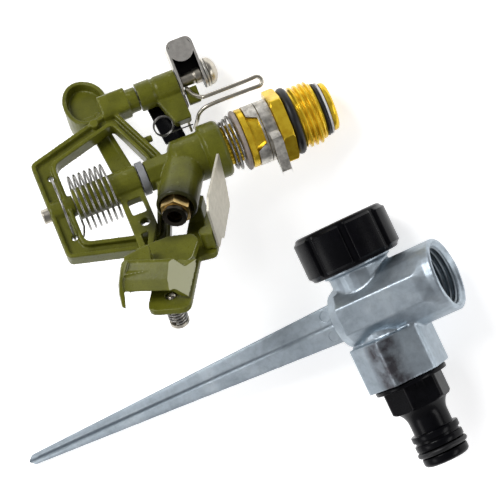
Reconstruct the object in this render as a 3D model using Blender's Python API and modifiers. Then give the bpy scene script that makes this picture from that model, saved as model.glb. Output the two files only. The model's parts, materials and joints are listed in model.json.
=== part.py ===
"""Impact sprinkler head and its ground spike, lying side by side on the ground.

Two frames carry the pieces. The head's frame has its origin at the centre of the
inlet end, z up the bearing axis, x along the jet and y to the left of the jet.
The spike's frame has its origin where the socket crosses the hose line, z up the
socket, x along the hose line from the connector to the cap and y out of the front.
"""
import math

import bmesh
import bpy
from mathutils import Matrix, Vector

MM = 0.001
CLEAR = 0.3            # gap between neighbours that touch
RUN = 0.3              # radial running clearance of turning pieces
ROUND = 28             # sides of a round piece
FINE = ROUND // 2 + 2  # sides of a small round piece

# ---- inlet stack, heights above the inlet end ---------------------------------
THREAD_R = 10.4        # G 1/2 pipe thread, outside
THREAD_DEPTH = 1.1
THREAD_PITCH = 1.81
THREAD_TURNS = 4
TUBE_R = 5.5           # bearing tube
TUBE_BORE_R = 4.2
FLARE_R = 8.1
FLARE_H = 2.2
THRUST_WASHER_R = 8.7
THRUST_WASHER_H = 0.70
THRUST_SEAL_R = 8.9
THRUST_SEAL_H = 1.0
O_RING_WIRE_R = 1.5
O_RING_SEAT_R = 8.0
HEX_AF = 21.6
HEX_H = 4.0
COLLAR_NECK_R = 8.5
COLLAR_H = 3.9
COLLAR_T = 1.2
TAB_REACH = 14.6
TAB_T = 0.9
FLANGE_R = 9.9
FLANGE_H = 2.1
STEM_WASHER_R = 10.1
STEM_WASHER_H = 1.3
SLEEVE_R = 6.4         # fluted top of the bearing tube
STEM_SPRING_GAP = 5.0  # between the washer and the body
STEM_SPRING_WIRE_R = 0.42

# ---- cast body ----------------------------------------------------------------
HOUSING_R = 9.5
HOUSING_H = 6.8
BODY_R = 7.9
BODY_H = 10.6
NECK_R = 4.95
NECK_H = 9.30
BARREL_R = 6.6
BARREL_RISE = math.radians(25.0)
BARREL_LENGTH = 22.0   # from the bearing axis to the barrel's end
BARREL_ROOT = 13.4     # height of the barrel's axis above the housing's foot
BARREL_BORE_R = 4.7
WATERWAY_R = 3.4
NOZZLE_AF = 8.8
NOZZLE_HEX_L = 4.4
NOZZLE_RIM_R = 4.0
NOZZLE_RIM_L = 1.8      # of the round rim in front of the hexagon
NOZZLE_BORE_R = 2.4

# ---- bridge over the body -----------------------------------------------------
BRIDGE_TURN = math.radians(-25.6)
BRIDGE_TOP = 97.6
BRIDGE_TOP_HALF = 17.8
BRIDGE_FOOT = 69.0
BRIDGE_FOOT_HALF = 25.8
BRIDGE_DEPTH = 6.0
BRIDGE_BEAM = 7.2
BRIDGE_LEG = 5.2
BRIDGE_WEB = 2.4
BRIDGE_RIM = 1.35
STRUT_H = 5.4
STRUT_DROP = 3.4       # from the bridge's widest point down to the struts' lower edge
NUB_REACH = 12.4       # bearing axis to the small nub under a strut
SPRING_HOLE_R = 1.0
SPRING_HOLE_REACH = 11.3

# ---- swinging arm -------------------------------------------------------------
ARM_TURN = math.radians(-10.6)
PIN_R = 2.4
PIN_STUB = 2.4
ARM_WASHER_R = 5.55
ARM_WASHER_H = 2.3
ARM_FOOT_H = 8.2       # height of the arm's web
ARM_WEB = 3.0
HUB_R = 5.2
HUB_H = 21.8
SPOON_START = 31.0
ARM_SPRING_R = 9.6
ARM_SPRING_WIRE_R = 0.5
ARM_SPRING_TURNS = 7
CUP_REACH = 38.4
CUP_R = 7.3
CUP_DEPTH = 10.0
CUP_WALL = 1.4
CUP_HOLLOW = 3.4
CUP_BACK = 7.6         # behind the arm's plane
SPOON_H = 15.4

# ---- trip gear ----------------------------------------------------------------
PIVOT_REACH = 27.8     # bearing axis to the trip pivot, on the bridge's plane
PIVOT_R = 1.5
BLOCK_R = 4.3
BLOCK_H = 9.2
BLOCK_NECK_R = 4.1
BLOCK_NECK_H = 3.4
LEVER_HUB_R = 4.8
LEVER_HUB_H = 13.6
LEVER_REACH = 13.5
PLATE_T = 0.8
BRACKET_H = 9.0
CLIP_REACH = 13.2      # pivot to the clip's closed end
CLIP_HALF = 4.4
CLIP_BEND = 2.0
BUSH_R = 2.6
TONGUE_LIFT = 1.7      # step up of the clip's long tongue
DOME_R = 4.7
TRIP_WIRE_R = 0.6
TRIP_SPRING_R = 3.1
TRIP_SPRING_WIRE_R = 0.3

# ---- jet gear -----------------------------------------------------------------
TONGUE_T = 2.2
TONGUE_SIDE = 9.6      # jet line to the tongue's inner face
TONGUE_END = 58.0
TONGUE_H = 13.6
SCREW_R = 1.6
SCREW_HEAD_R = 3.1
SCREW_SPRING_R = 2.75
SCREW_SPRING_WIRE_R = 0.35
SCREW_SPRING_L = 8.0
DEFLECTOR_T = 0.8
DEFLECTOR_ALONG = 30.4     # hinge along the jet
DEFLECTOR_DROP = 9.6       # hinge under the jet

# ---- ground spike -------------------------------------------------------------
SOCKET_R = 12.2
SOCKET_H = 26.6        # socket mouth above the hose line
SOCKET_CLEAR = 0.35    # round the inlet thread
FACET_HALF = 4.4       # flat on the front of the socket
FACET_RISE = 0.7
FACET_LOW = -9.0
FACET_HIGH = 19.6
FACET_FADE = 4.2       # the flat runs out into the round over this length
HOSE_R = 10.2
CAP_R = 16.0
CAP_L = 15.6
CAP_START = 14.2
CAP_RIBS = 8
BOSS_AF = 25.2
BOSS_START = 9.8
BOSS_L = 15.6
BLADE_W = 13.6
BLADE_TIP_W = 3.6
BLADE_START = 12.6
BLADE_L = 126.0
BLADE_T = 2.6
RIB_T = 3.0
RIB_DEPTH = 7.0
CREASE = 0.9           # rise of the blade's front along its middle
GROOVE_TOP = (0.60, 0.70)     # half width and depth of the groove down the blade, at its top
GROOVE_TIP = (0.85, 0.80)     # the same near the blade's tip
CONNECTOR_FLANGE_R = 12.3
CONNECTOR_HEX_AF = 18.4
CONNECTOR_WAIST_R = 6.7
CONNECTOR_RING_R = 8.2

# ---- where the pieces lie -----------------------------------------------------
HEAD_ROLL = math.radians(40.0)     # side of the head that faces up, from the jet to the left
HEAD_YAW = math.radians(176.0)
HEAD_AT = (13.0, 64.5)            # inlet end on the ground plan, from the hose line


# ---- derived heights ----------------------------------------------------------
WASHER_Z = FLARE_H + CLEAR
SEAL_Z = WASHER_Z + THRUST_WASHER_H + CLEAR
NIPPLE_Z = SEAL_Z + THRUST_SEAL_H + CLEAR
O_RING_Z = NIPPLE_Z + 0.6 + THREAD_TURNS * THREAD_PITCH
HEX_Z = O_RING_Z + 2.0 * O_RING_WIRE_R + CLEAR
NECK_Z = HEX_Z + HEX_H
COLLAR_Z = (NECK_Z + CLEAR, NECK_Z + 2.0 * CLEAR + COLLAR_H)
FLANGE_Z = NECK_Z + 3.0 * CLEAR + 2.0 * COLLAR_H
STEM_WASHER_Z = FLANGE_Z + FLANGE_H + CLEAR
SLEEVE_Z = STEM_WASHER_Z + STEM_WASHER_H + CLEAR
HOUSING_Z = STEM_WASHER_Z + STEM_WASHER_H + STEM_SPRING_GAP
BODY_Z = HOUSING_Z + HOUSING_H
BODY_NECK_Z = BODY_Z + BODY_H
ARM_WASHER_Z = BODY_NECK_Z + NECK_H + CLEAR
ARM_Z = ARM_WASHER_Z + ARM_WASHER_H + CLEAR
ARM_TOP_Z = ARM_Z + ARM_FOOT_H
HUB_TOP_Z = ARM_Z + HUB_H
CUP_Z = ARM_TOP_Z - 2.2
BEAM_Z = BRIDGE_TOP - BRIDGE_BEAM
STRUT_NECK_Z = BODY_NECK_Z + 2.6
SPRING_HOLE_Z = BEAM_Z + 2.6
BLOCK_TOP_Z = BRIDGE_FOOT + 0.6
BLOCK_Z = BLOCK_TOP_Z - BLOCK_H
BLOCK_NECK_Z = BLOCK_Z - BLOCK_NECK_H
LEVER_TOP_Z = BLOCK_NECK_Z - CLEAR
LEVER_Z = LEVER_TOP_Z - LEVER_HUB_H
BRACKET_TOP_Z = LEVER_Z - CLEAR
BRACKET_Z = BRACKET_TOP_Z - BRACKET_H
JET_ROOT = Vector((0.0, 0.0, HOUSING_Z + BARREL_ROOT))
JET = Vector((math.cos(BARREL_RISE), 0.0, math.sin(BARREL_RISE)))
JET_UP = Vector((-math.sin(BARREL_RISE), 0.0, math.cos(BARREL_RISE)))


# ---- scene and small tools ----------------------------------------------------
def clear_scene():
    for old in list(bpy.data.objects):
        bpy.data.objects.remove(old, do_unlink=True)


def material(name, colour, roughness, metallic):
    made = bpy.data.materials.new(name)
    made.use_nodes = True
    shader = made.node_tree.nodes["Principled BSDF"]
    shader.inputs["Base Color"].default_value = (*colour, 1.0)
    shader.inputs["Roughness"].default_value = roughness
    shader.inputs["Metallic"].default_value = metallic
    made.diffuse_color = (*colour, 1.0)
    return made


clear_scene()
PARTS = bpy.data.collections.new("sprinkler")
bpy.context.scene.collection.children.link(PARTS)
OLIVE = material("olive_paint", (0.17, 0.19, 0.04), 0.4, 0.0)
BRASS = material("brass", (0.80, 0.56, 0.16), 0.25, 1.0)
STEEL = material("stainless_steel", (0.60, 0.59, 0.56), 0.3, 1.0)
ZINC = material("zinc_plate", (0.58, 0.64, 0.68), 0.35, 1.0)
RUBBER = material("black_rubber", (0.02, 0.02, 0.02), 0.6, 0.0)
PLASTIC = material("black_plastic", (0.015, 0.015, 0.018), 0.35, 0.0)
NYLON = material("grey_nylon", (0.45, 0.45, 0.47), 0.5, 0.0)
WHITE = material("white_nylon", (0.85, 0.84, 0.82), 0.5, 0.0)


def frame(name):
    made = bpy.data.objects.new(name, None)
    made.empty_display_size = 0.01
    PARTS.objects.link(made)
    return made


HEAD = frame("head_frame")
SPIKE = frame("spike_frame")


def mesh_object(name, mesh):
    made = bpy.data.objects.new(name, mesh)
    PARTS.objects.link(made)
    return made


def baked(source, weld=0.00001):
    """Turn an object with modifiers, or a curve, into a plain welded mesh object."""
    graph = bpy.context.evaluated_depsgraph_get()
    mesh = bpy.data.meshes.new_from_object(source.evaluated_get(graph))
    mesh.transform(source.matrix_world)
    name = source.name
    bpy.data.objects.remove(source, do_unlink=True)
    work = bmesh.new()
    work.from_mesh(mesh)
    bmesh.ops.remove_doubles(work, verts=work.verts, dist=weld)
    bmesh.ops.recalc_face_normals(work, faces=work.faces)
    work.to_mesh(mesh)
    work.free()
    return mesh_object(name, mesh)


def turned(name, profile, sides=ROUND, hollow=False):
    """A turned solid from (radius, height) points that run down its outer side."""
    mesh = bpy.data.meshes.new(name)
    count = len(profile)
    links = [(i, i + 1) for i in range(count - 1)]
    if hollow:
        links.append((count - 1, 0))
    mesh.from_pydata([(r * MM, 0.0, z * MM) for r, z in profile], links, [])
    made = mesh_object(name, mesh)
    screw = made.modifiers.new("turn", "SCREW")
    screw.steps = sides
    screw.render_steps = sides
    screw.use_merge_vertices = True
    screw.merge_threshold = 0.00001
    return baked(made)


def hull(name, points):
    """The convex solid round some points."""
    work = bmesh.new()
    for point in points:
        work.verts.new(Vector(point) * MM)
    made = bmesh.ops.convex_hull(work, input=work.verts)
    loose = {v for v in made["geom_interior"] + made["geom_unused"]
             if isinstance(v, bmesh.types.BMVert)}
    bmesh.ops.delete(work, geom=list(loose), context="VERTS")
    bmesh.ops.recalc_face_normals(work, faces=work.faces)
    mesh = bpy.data.meshes.new(name)
    work.to_mesh(mesh)
    work.free()
    return mesh_object(name, mesh)


def rod(name, radius, low, high, sides=ROUND):
    return turned(name, [(0.0, high), (radius, high), (radius, low), (0.0, low)], sides)


def ring(name, outer, inner, low, high, sides=ROUND, chamfer=0.0):
    profile = [(outer - chamfer, high), (outer, high - chamfer), (outer, low + chamfer),
               (outer - chamfer, low), (inner, low), (inner, high)]
    if chamfer == 0.0:
        profile = [(outer, high), (outer, low), (inner, low), (inner, high)]
    return turned(name, profile, sides, hollow=True)


def prism(name, outlines, low, high):
    """Flat outlines in x and y, the first one solid and the rest holes, from low to high."""
    curve = bpy.data.curves.new(name, "CURVE")
    curve.dimensions = "2D"
    curve.fill_mode = "BOTH"
    curve.extrude = 0.5 * (high - low) * MM
    for outline in outlines:
        spline = curve.splines.new("POLY")
        spline.points.add(len(outline) - 1)
        spline.use_cyclic_u = True
        for point, (x, y) in zip(spline.points, outline):
            point.co = (x * MM, y * MM, 0.0, 1.0)
    made = bpy.data.objects.new(name, curve)
    PARTS.objects.link(made)
    made.location.z = 0.5 * (low + high) * MM
    bpy.context.view_layer.update()
    return baked(made)


def polygon(sides, across_flats, turn=0.0):
    radius = 0.5 * across_flats / math.cos(math.pi / sides)
    angles = [turn + 2.0 * math.pi * i / sides for i in range(sides)]
    return [(radius * math.cos(a), radius * math.sin(a)) for a in angles]


def rounded(corners, radius, steps=4):
    """The corners of a flat outline, each replaced by an arc of about the radius."""
    points = []
    count = len(corners)
    for i, corner in enumerate(corners):
        size = radius[i] if isinstance(radius, (list, tuple)) else radius
        here = Vector(corner)
        if size == 0.0:
            points.append(tuple(here))
            continue
        before = (Vector(corners[i - 1]) - here)
        after = (Vector(corners[(i + 1) % count]) - here)
        cut = min(size, 0.45 * before.length, 0.45 * after.length)
        start = here + before.normalized() * cut
        end = here + after.normalized() * cut
        for k in range(steps + 1):
            t = k / steps
            points.append(tuple(start * (1 - t) ** 2 + here * 2 * t * (1 - t) + end * t ** 2))
    return points


def offset(corners, distance):
    """A counter-clockwise outline moved inwards by the distance."""
    moved = []
    count = len(corners)
    for i in range(count):
        here = Vector(corners[i])
        before = (here - Vector(corners[i - 1])).normalized()
        after = (Vector(corners[(i + 1) % count]) - here).normalized()
        inward_before = Vector((-before.y, before.x))
        inward_after = Vector((-after.y, after.x))
        middle = (inward_before + inward_after).normalized()
        moved.append(tuple(here + middle * (distance / middle.dot(inward_after))))
    return moved


def wire(name, points, radius, closed=False):
    curve = bpy.data.curves.new(name, "CURVE")
    curve.dimensions = "3D"
    curve.bevel_depth = radius * MM
    curve.bevel_resolution = 2
    curve.use_fill_caps = not closed
    spline = curve.splines.new("POLY")
    spline.points.add(len(points) - 1)
    spline.use_cyclic_u = closed
    for point, place in zip(spline.points, points):
        point.co = (place[0] * MM, place[1] * MM, place[2] * MM, 1.0)
    made = bpy.data.objects.new(name, curve)
    PARTS.objects.link(made)
    return baked(made)


def coil(turns, low, high, radius, top_radius=None, steps=14, start=0.0):
    """Points of a helix about z, from low to high, whose radius may change."""
    top_radius = radius if top_radius is None else top_radius
    count = int(turns * steps)
    points = []
    for i in range(count + 1):
        t = i / count
        angle = start + 2.0 * math.pi * turns * t
        r = radius + (top_radius - radius) * t
        points.append(Vector((r * math.cos(angle), r * math.sin(angle), low + (high - low) * t)))
    return points


def eased(points, steps=4):
    """A smooth line through a few points, by Catmull-Rom."""
    line = []
    ends = [points[0]] + list(points) + [points[-1]]
    for i in range(1, len(ends) - 2):
        p0, p1, p2, p3 = (Vector(p) for p in ends[i - 1:i + 3])
        for k in range(steps):
            t = k / steps
            line.append(0.5 * (2 * p1 + (p2 - p0) * t + (2 * p0 - 5 * p1 + 4 * p2 - p3) * t * t
                               + (3 * p1 - p0 - 3 * p2 + p3) * t ** 3))
    line.append(Vector(points[-1]))
    return line


def boolean(target, others, operation):
    for other in others:
        step = target.modifiers.new(operation.lower(), "BOOLEAN")
        step.operation = operation
        step.object = other
        step.solver = "EXACT"
        bpy.context.view_layer.update()
        target = baked(target, 0.000002)
    for other in others:
        bpy.data.objects.remove(other, do_unlink=True)
    return target


def join(target, *others):
    return boolean(target, others, "UNION")


def cut(target, *others):
    return boolean(target, others, "DIFFERENCE")


def place(piece, matrix):
    piece.data.transform(matrix)
    piece.data.update()
    return piece


def spin(piece, angle, axis="Z"):
    return place(piece, Matrix.Rotation(angle, 4, axis))


def shift(piece, x=0.0, y=0.0, z=0.0):
    return place(piece, Matrix.Translation((x * MM, y * MM, z * MM)))


def axes(origin, x_axis, z_axis):
    """The frame at the origin, in millimetres, with the given x and z directions."""
    z = Vector(z_axis).normalized()
    x = Vector(x_axis)
    x = (x - z * x.dot(z)).normalized()
    y = z.cross(x)
    turn = Matrix((x, y, z)).transposed().to_4x4()
    return Matrix.Translation(Vector(origin) * MM) @ turn


def upright(angle):
    """Stand a flat outline up: x runs out at the angle, y runs up, z is the thickness."""
    out = Vector((math.cos(angle), math.sin(angle), 0.0))
    return axes((0.0, 0.0, 0.0), out, out.cross(Vector((0.0, 0.0, 1.0))))


def finish(piece, name, look, parent, origin=(0.0, 0.0, 0.0), crease=35.0):
    """Name, colour and shade a piece, and put its origin at the point given."""
    piece.name = name
    piece.data.name = name
    place(piece, Matrix.Translation(-Vector(origin) * MM))
    piece.location = Vector(origin) * MM
    piece.parent = parent
    piece.data.materials.clear()
    piece.data.materials.append(look)
    piece.data.shade_smooth()
    piece.data.set_sharp_from_angle(angle=math.radians(crease))
    return piece


# ---- inlet stack --------------------------------------------------------------
def make_bearing_tube():
    top = BODY_Z - 0.6
    profile = [(SLEEVE_R, top), (SLEEVE_R, SLEEVE_Z), (TUBE_R, SLEEVE_Z), (TUBE_R, FLARE_H),
               (FLARE_R, FLARE_H), (FLARE_R, 0.9), (FLARE_R - 1.1, 0.0),
               (TUBE_BORE_R, 0.0), (TUBE_BORE_R, top)]
    tube = turned("bearing_tube", profile, 36, hollow=True)
    return finish(tube, "bearing_tube", BRASS, HEAD)


def make_washers():
    washer = ring("w", THRUST_WASHER_R, TUBE_R + RUN, WASHER_Z, WASHER_Z + THRUST_WASHER_H)
    finish(washer, "thrust_washer", WHITE, HEAD)
    seal = ring("s", THRUST_SEAL_R, TUBE_R + RUN, SEAL_Z, SEAL_Z + THRUST_SEAL_H, chamfer=0.25)
    finish(seal, "thrust_seal", RUBBER, HEAD)
    upper = ring("u", STEM_WASHER_R, TUBE_R + RUN, STEM_WASHER_Z,
                 STEM_WASHER_Z + STEM_WASHER_H, chamfer=0.3)
    finish(upper, "stem_washer", NYLON, HEAD)


def make_nipple():
    top = FLANGE_Z + FLANGE_H
    profile = [(FLANGE_R - 0.3, top), (FLANGE_R, top - 0.3), (FLANGE_R, FLANGE_Z),
               (COLLAR_NECK_R, FLANGE_Z - 0.2), (COLLAR_NECK_R, NECK_Z - 0.5),
               (HEX_AF * 0.47, NECK_Z - 0.5), (HEX_AF * 0.47, HEX_Z + 0.5),
               (O_RING_SEAT_R, HEX_Z), (O_RING_SEAT_R, O_RING_Z)]
    crest_z = O_RING_Z
    for _ in range(THREAD_TURNS):
        profile += [(THREAD_R - THREAD_DEPTH, crest_z),
                    (THREAD_R, crest_z - 0.35 * THREAD_PITCH),
                    (THREAD_R, crest_z - 0.6 * THREAD_PITCH)]
        crest_z -= THREAD_PITCH
    profile += [(THREAD_R - THREAD_DEPTH, crest_z), (THREAD_R - THREAD_DEPTH, NIPPLE_Z),
                (TUBE_R + RUN, NIPPLE_Z), (TUBE_R + RUN, top)]
    nipple = turned("inlet_nipple", profile, 36, hollow=True)
    hexagon = prism("hex", [polygon(6, HEX_AF, math.radians(18.5)),
                            polygon(16, 2.0 * (TUBE_R + RUN) + 1.6)], HEX_Z, NECK_Z)
    return finish(join(nipple, hexagon), "inlet_nipple", BRASS, HEAD)


def make_inlet_o_ring():
    seat = O_RING_SEAT_R + CLEAR + O_RING_WIRE_R
    height = O_RING_Z + O_RING_WIRE_R + 0.5 * CLEAR
    turns = [2.0 * math.pi * i / 36 for i in range(36)]
    loop = [(seat * math.cos(a), seat * math.sin(a), height) for a in turns]
    return finish(wire("o", loop, O_RING_WIRE_R, closed=True), "inlet_o_ring", RUBBER, HEAD)


def strip(points, thickness):
    """The outline of a flat strip bent along the points."""
    left, right = [], []
    for i, point in enumerate(points):
        here = Vector(point)
        ahead = Vector(points[min(i + 1, len(points) - 1)]) - Vector(points[max(i - 1, 0)])
        side = Vector((-ahead.y, ahead.x)).normalized() * 0.5 * thickness
        left.append(tuple(here + side))
        right.append(tuple(here - side))
    return right + left[::-1]


def make_collar(name, low, turn, notch_turn):
    """A sprung steel ring with a notch and a bent tab that the trip wire meets."""
    high = low + COLLAR_H
    inner = COLLAR_NECK_R + RUN
    outer = inner + COLLAR_T
    band = ring(name, outer, inner, low, high, 40)
    near = inner + 0.5 * COLLAR_T
    tab = strip([(near, -3.6), (TAB_REACH - 0.8, -7.3), (TAB_REACH - 0.4, -6.6),
                 (12.4, 3.6), (11.6, 4.7), (near - 0.8, 5.2)], TAB_T)
    tab_piece = prism("tab", [tab], low + 0.1, low + 0.85 * COLLAR_H)
    spin(tab_piece, turn)
    notch = prism("notch", [[(-4.4, low + 0.6), (4.4, low + 0.6), (6.4, high + 1.0),
                             (-6.4, high + 1.0)]], 0.0, outer + 1.0)
    place(notch, axes((0.0, 0.0, 0.0), (-math.sin(notch_turn), math.cos(notch_turn), 0.0),
                      (math.cos(notch_turn), math.sin(notch_turn), 0.0)))
    collar = join(cut(band, notch), tab_piece)
    return finish(collar, name, STEEL, HEAD)


def make_stem_spring():
    low = SLEEVE_Z + STEM_SPRING_WIRE_R
    high = HOUSING_Z - CLEAR - STEM_SPRING_WIRE_R
    clear_r = SLEEVE_R + CLEAR + STEM_SPRING_WIRE_R
    line = coil(2.6, low, high, HOUSING_R - STEM_SPRING_WIRE_R, clear_r + 0.5, 18)
    return finish(wire("c", line, STEM_SPRING_WIRE_R), "stem_spring", STEEL, HEAD)


# ---- cast body ----------------------------------------------------------------
def jet_frame(along=0.0, side=0.0, up=0.0):
    """x along the jet, y square to it and up, z to the right of the jet."""
    origin = JET_ROOT + JET * along + JET_UP * up + Vector((0.0, -side, 0.0))
    return axes(origin, JET, JET.cross(JET_UP))


def bridge_half(height):
    slope = (BRIDGE_FOOT_HALF - BRIDGE_TOP_HALF) / (BRIDGE_TOP - BRIDGE_FOOT)
    return BRIDGE_FOOT_HALF - (height - BRIDGE_FOOT) * slope


def strut_foot(out):
    """Height of the struts' lower edge at a distance from the bearing axis."""
    share = (out - NECK_R) / (BRIDGE_FOOT_HALF - 0.6 - NECK_R)
    return STRUT_NECK_Z + share * (BRIDGE_FOOT - STRUT_DROP - STRUT_NECK_Z)


def bridge_outlines():
    foot_drop = STRUT_DROP
    neck_z = STRUT_NECK_Z
    outer = [(-BRIDGE_FOOT_HALF + 0.6, BRIDGE_FOOT - foot_drop), (-NECK_R, neck_z),
             (NECK_R, neck_z), (BRIDGE_FOOT_HALF - 0.6, BRIDGE_FOOT - foot_drop),
             (BRIDGE_FOOT_HALF, BRIDGE_FOOT), (BRIDGE_TOP_HALF, BRIDGE_TOP),
             (-BRIDGE_TOP_HALF, BRIDGE_TOP), (-BRIDGE_FOOT_HALF, BRIDGE_FOOT)]
    low = BRIDGE_FOOT - foot_drop + 0.5 * STRUT_H
    inner_low = bridge_half(low) - BRIDGE_LEG
    inner_high = bridge_half(BEAM_Z) - BRIDGE_LEG
    neck_top = neck_z + 0.9 * STRUT_H
    window = [(-inner_low, low), (-NECK_R, neck_top), (NECK_R, neck_top), (inner_low, low),
              (inner_high, BEAM_Z), (-inner_high, BEAM_Z)]
    return outer, window


def make_bridge():
    outer, window = bridge_outlines()
    half = 0.5 * BRIDGE_DEPTH
    bridge = prism("bridge", [rounded(outer, [1, 0, 0, 1, 1.5, 1.8, 1.8, 1.5]),
                              rounded(window, [1.5, 0, 0, 1.5, 2.4, 2.4])], -half, half)
    pocket_outer = rounded(offset(outer, BRIDGE_RIM), 0.8, 2)
    pocket_inner = rounded(offset(window, -BRIDGE_RIM), 2.0, 2)
    for low, high in ((0.5 * BRIDGE_WEB, half + 1.0), (-half - 1.0, -0.5 * BRIDGE_WEB)):
        bridge = cut(bridge, prism("pocket", [pocket_outer, pocket_inner], low, high))
    for side in (-1.0, 1.0):
        hole = rod("hole", SPRING_HOLE_R, -half, half, 10)
        bridge = cut(bridge, shift(hole, side * SPRING_HOLE_REACH, SPRING_HOLE_Z))
    return place(bridge, upright(BRIDGE_TURN))


def bridge_point(out, height):
    return (out * math.cos(BRIDGE_TURN), out * math.sin(BRIDGE_TURN), height)


def make_block():
    """The boss on the bridge's rear corner that carries the trip pivot."""
    square = rounded([(-BLOCK_R, -BLOCK_R), (BLOCK_R, -BLOCK_R), (BLOCK_R, BLOCK_R),
                      (-BLOCK_R, BLOCK_R)], 2.2, 3)
    block = prism("block", [square], BLOCK_Z, BLOCK_TOP_Z)
    neck = rod("neck", BLOCK_NECK_R, BLOCK_NECK_Z, BLOCK_Z + 1.0, FINE)
    reach = PIVOT_REACH - BRIDGE_FOOT_HALF + 1.0
    link = prism("link", [[(-1.0, -BRIDGE_WEB), (reach, -BRIDGE_WEB), (reach, BRIDGE_WEB),
                           (-1.0, BRIDGE_WEB)]], BRIDGE_FOOT - 2.4, BRIDGE_FOOT - 0.4)
    block = join(block, neck, link)
    spin(block, BRIDGE_TURN)
    x, y, _ = bridge_point(-PIVOT_REACH, 0.0)
    return shift(block, x, y)


def make_tongue():
    """The arm beside the jet that holds the diffuser screw and the deflector."""
    low = -0.5 * TONGUE_H
    end = TONGUE_END
    outline = rounded([(12.0, low), (25.6, low - 0.2), (26.8, -12.2), (34.0, -12.2), (35.2, low - 0.2),
                       (end, low), (end, -low), (end - 12.0, -low), (end - 15.0, -1.0),
                       (12.0, -1.0)],
                      [0, 0, 2, 2, 0, 3.4, 3.4, 2, 2, 0])
    tongue = prism("tongue", [outline], TONGUE_SIDE, TONGUE_SIDE + TONGUE_T)
    link = prism("link", [[(12.4, low + 0.3), (18.5, low + 0.3), (18.5, -1.4), (12.4, -1.4)]],
                 0.6 * BARREL_R, TONGUE_SIDE + 0.6)
    tongue = join(tongue, link)
    screw_hole = rod("hole", SCREW_R + CLEAR, TONGUE_SIDE - 1.0, TONGUE_SIDE + TONGUE_T + 1.0, FINE)
    tongue = cut(tongue, shift(screw_hole, end - 6.5, 0.0))
    pin_hole = rod("hole", 1.0 + CLEAR, TONGUE_SIDE - 1.0, TONGUE_SIDE + TONGUE_T + 1.0, FINE)
    tongue = cut(tongue, shift(pin_hole, DEFLECTOR_ALONG, -DEFLECTOR_DROP))
    return place(tongue, jet_frame())


def make_body():
    bore = SLEEVE_R + CLEAR
    step = BODY_Z - 0.2
    neck_top = BODY_NECK_Z + NECK_H
    profile = [(0.0, neck_top - 1.0), (NECK_R - 0.6, neck_top - 1.0), (NECK_R - 0.6, BODY_NECK_Z + 0.6),
               (NECK_R + 1.0, BODY_NECK_Z + 0.4), (BODY_R, BODY_NECK_Z - 1.2), (BODY_R, BODY_Z + 0.5),
               (BODY_R + 0.4, BODY_Z), (HOUSING_R - 0.4, BODY_Z - 0.1), (HOUSING_R, BODY_Z - 0.6),
               (HOUSING_R, HOUSING_Z + 1.1), (HOUSING_R - 0.8, HOUSING_Z), (0.0, HOUSING_Z)]
    body = turned("sprinkler_body", profile, 40)
    neck = prism("neck", [polygon(8, 2.0 * NECK_R, math.radians(17.0))], BODY_NECK_Z, neck_top)
    barrel = turned("barrel", [(0.0, BARREL_LENGTH), (BARREL_R - 0.6, BARREL_LENGTH),
                               (BARREL_R, BARREL_LENGTH - 0.6), (BARREL_R, 0.0), (0.0, 0.0)], 32)
    place(barrel, axes(JET_ROOT, JET_UP, JET))
    boss = rod("boss", PIN_R + 1.1, HUB_TOP_Z + CLEAR, BRIDGE_TOP - 0.5, FINE)
    nub_z = strut_foot(NUB_REACH)
    nub = rod("nub", 1.2, nub_z - 2.7, nub_z + 1.8, 12)
    shift(nub, *bridge_point(-NUB_REACH, 0.0))
    knob = rod("knob", 1.5, -0.5 * BRIDGE_DEPTH - 0.5, 0.5 * BRIDGE_DEPTH + 0.8, 12)
    knob_z = BRIDGE_FOOT + 4.5
    place(shift(knob, -bridge_half(knob_z) + 1.2, knob_z), upright(BRIDGE_TURN))
    body = join(body, neck, barrel, make_bridge(), boss, make_block(), nub, knob, make_tongue())

    socket = turned("socket", [(0.0, JET_ROOT.z + 3.0), (WATERWAY_R, JET_ROOT.z + 3.0),
                               (WATERWAY_R, step), (bore, step), (bore, HOUSING_Z - 1.0),
                               (0.0, HOUSING_Z - 1.0)])
    recess_r = 0.5 * NOZZLE_AF / math.cos(math.radians(30.0)) + 0.5
    jetway = turned("jetway", [(0.0, BARREL_LENGTH + 1.0), (recess_r, BARREL_LENGTH + 1.0),
                               (recess_r, BARREL_LENGTH - 1.2), (BARREL_BORE_R, BARREL_LENGTH - 1.2),
                               (BARREL_BORE_R, BARREL_LENGTH - 9.0), (WATERWAY_R, BARREL_LENGTH - 9.0),
                               (WATERWAY_R, 1.0), (0.0, 1.0)], FINE)
    place(jetway, axes(JET_ROOT, JET_UP, JET))
    lower_pin = rod("pin", PIN_R + CLEAR, neck_top - 8.0, neck_top + 1.0, FINE)
    upper_pin = rod("pin", PIN_R + CLEAR, HUB_TOP_Z - 1.0, BRIDGE_TOP + 1.0, FINE)
    pivot = rod("pivot", PIVOT_R + CLEAR, BLOCK_NECK_Z - 1.0, BLOCK_TOP_Z - 2.0, 16)
    shift(pivot, *bridge_point(-PIVOT_REACH, 0.0))
    body = cut(body, socket, jetway, lower_pin, upper_pin, pivot)
    return finish(body, "sprinkler_body", OLIVE, HEAD, crease=28.0)


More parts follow.
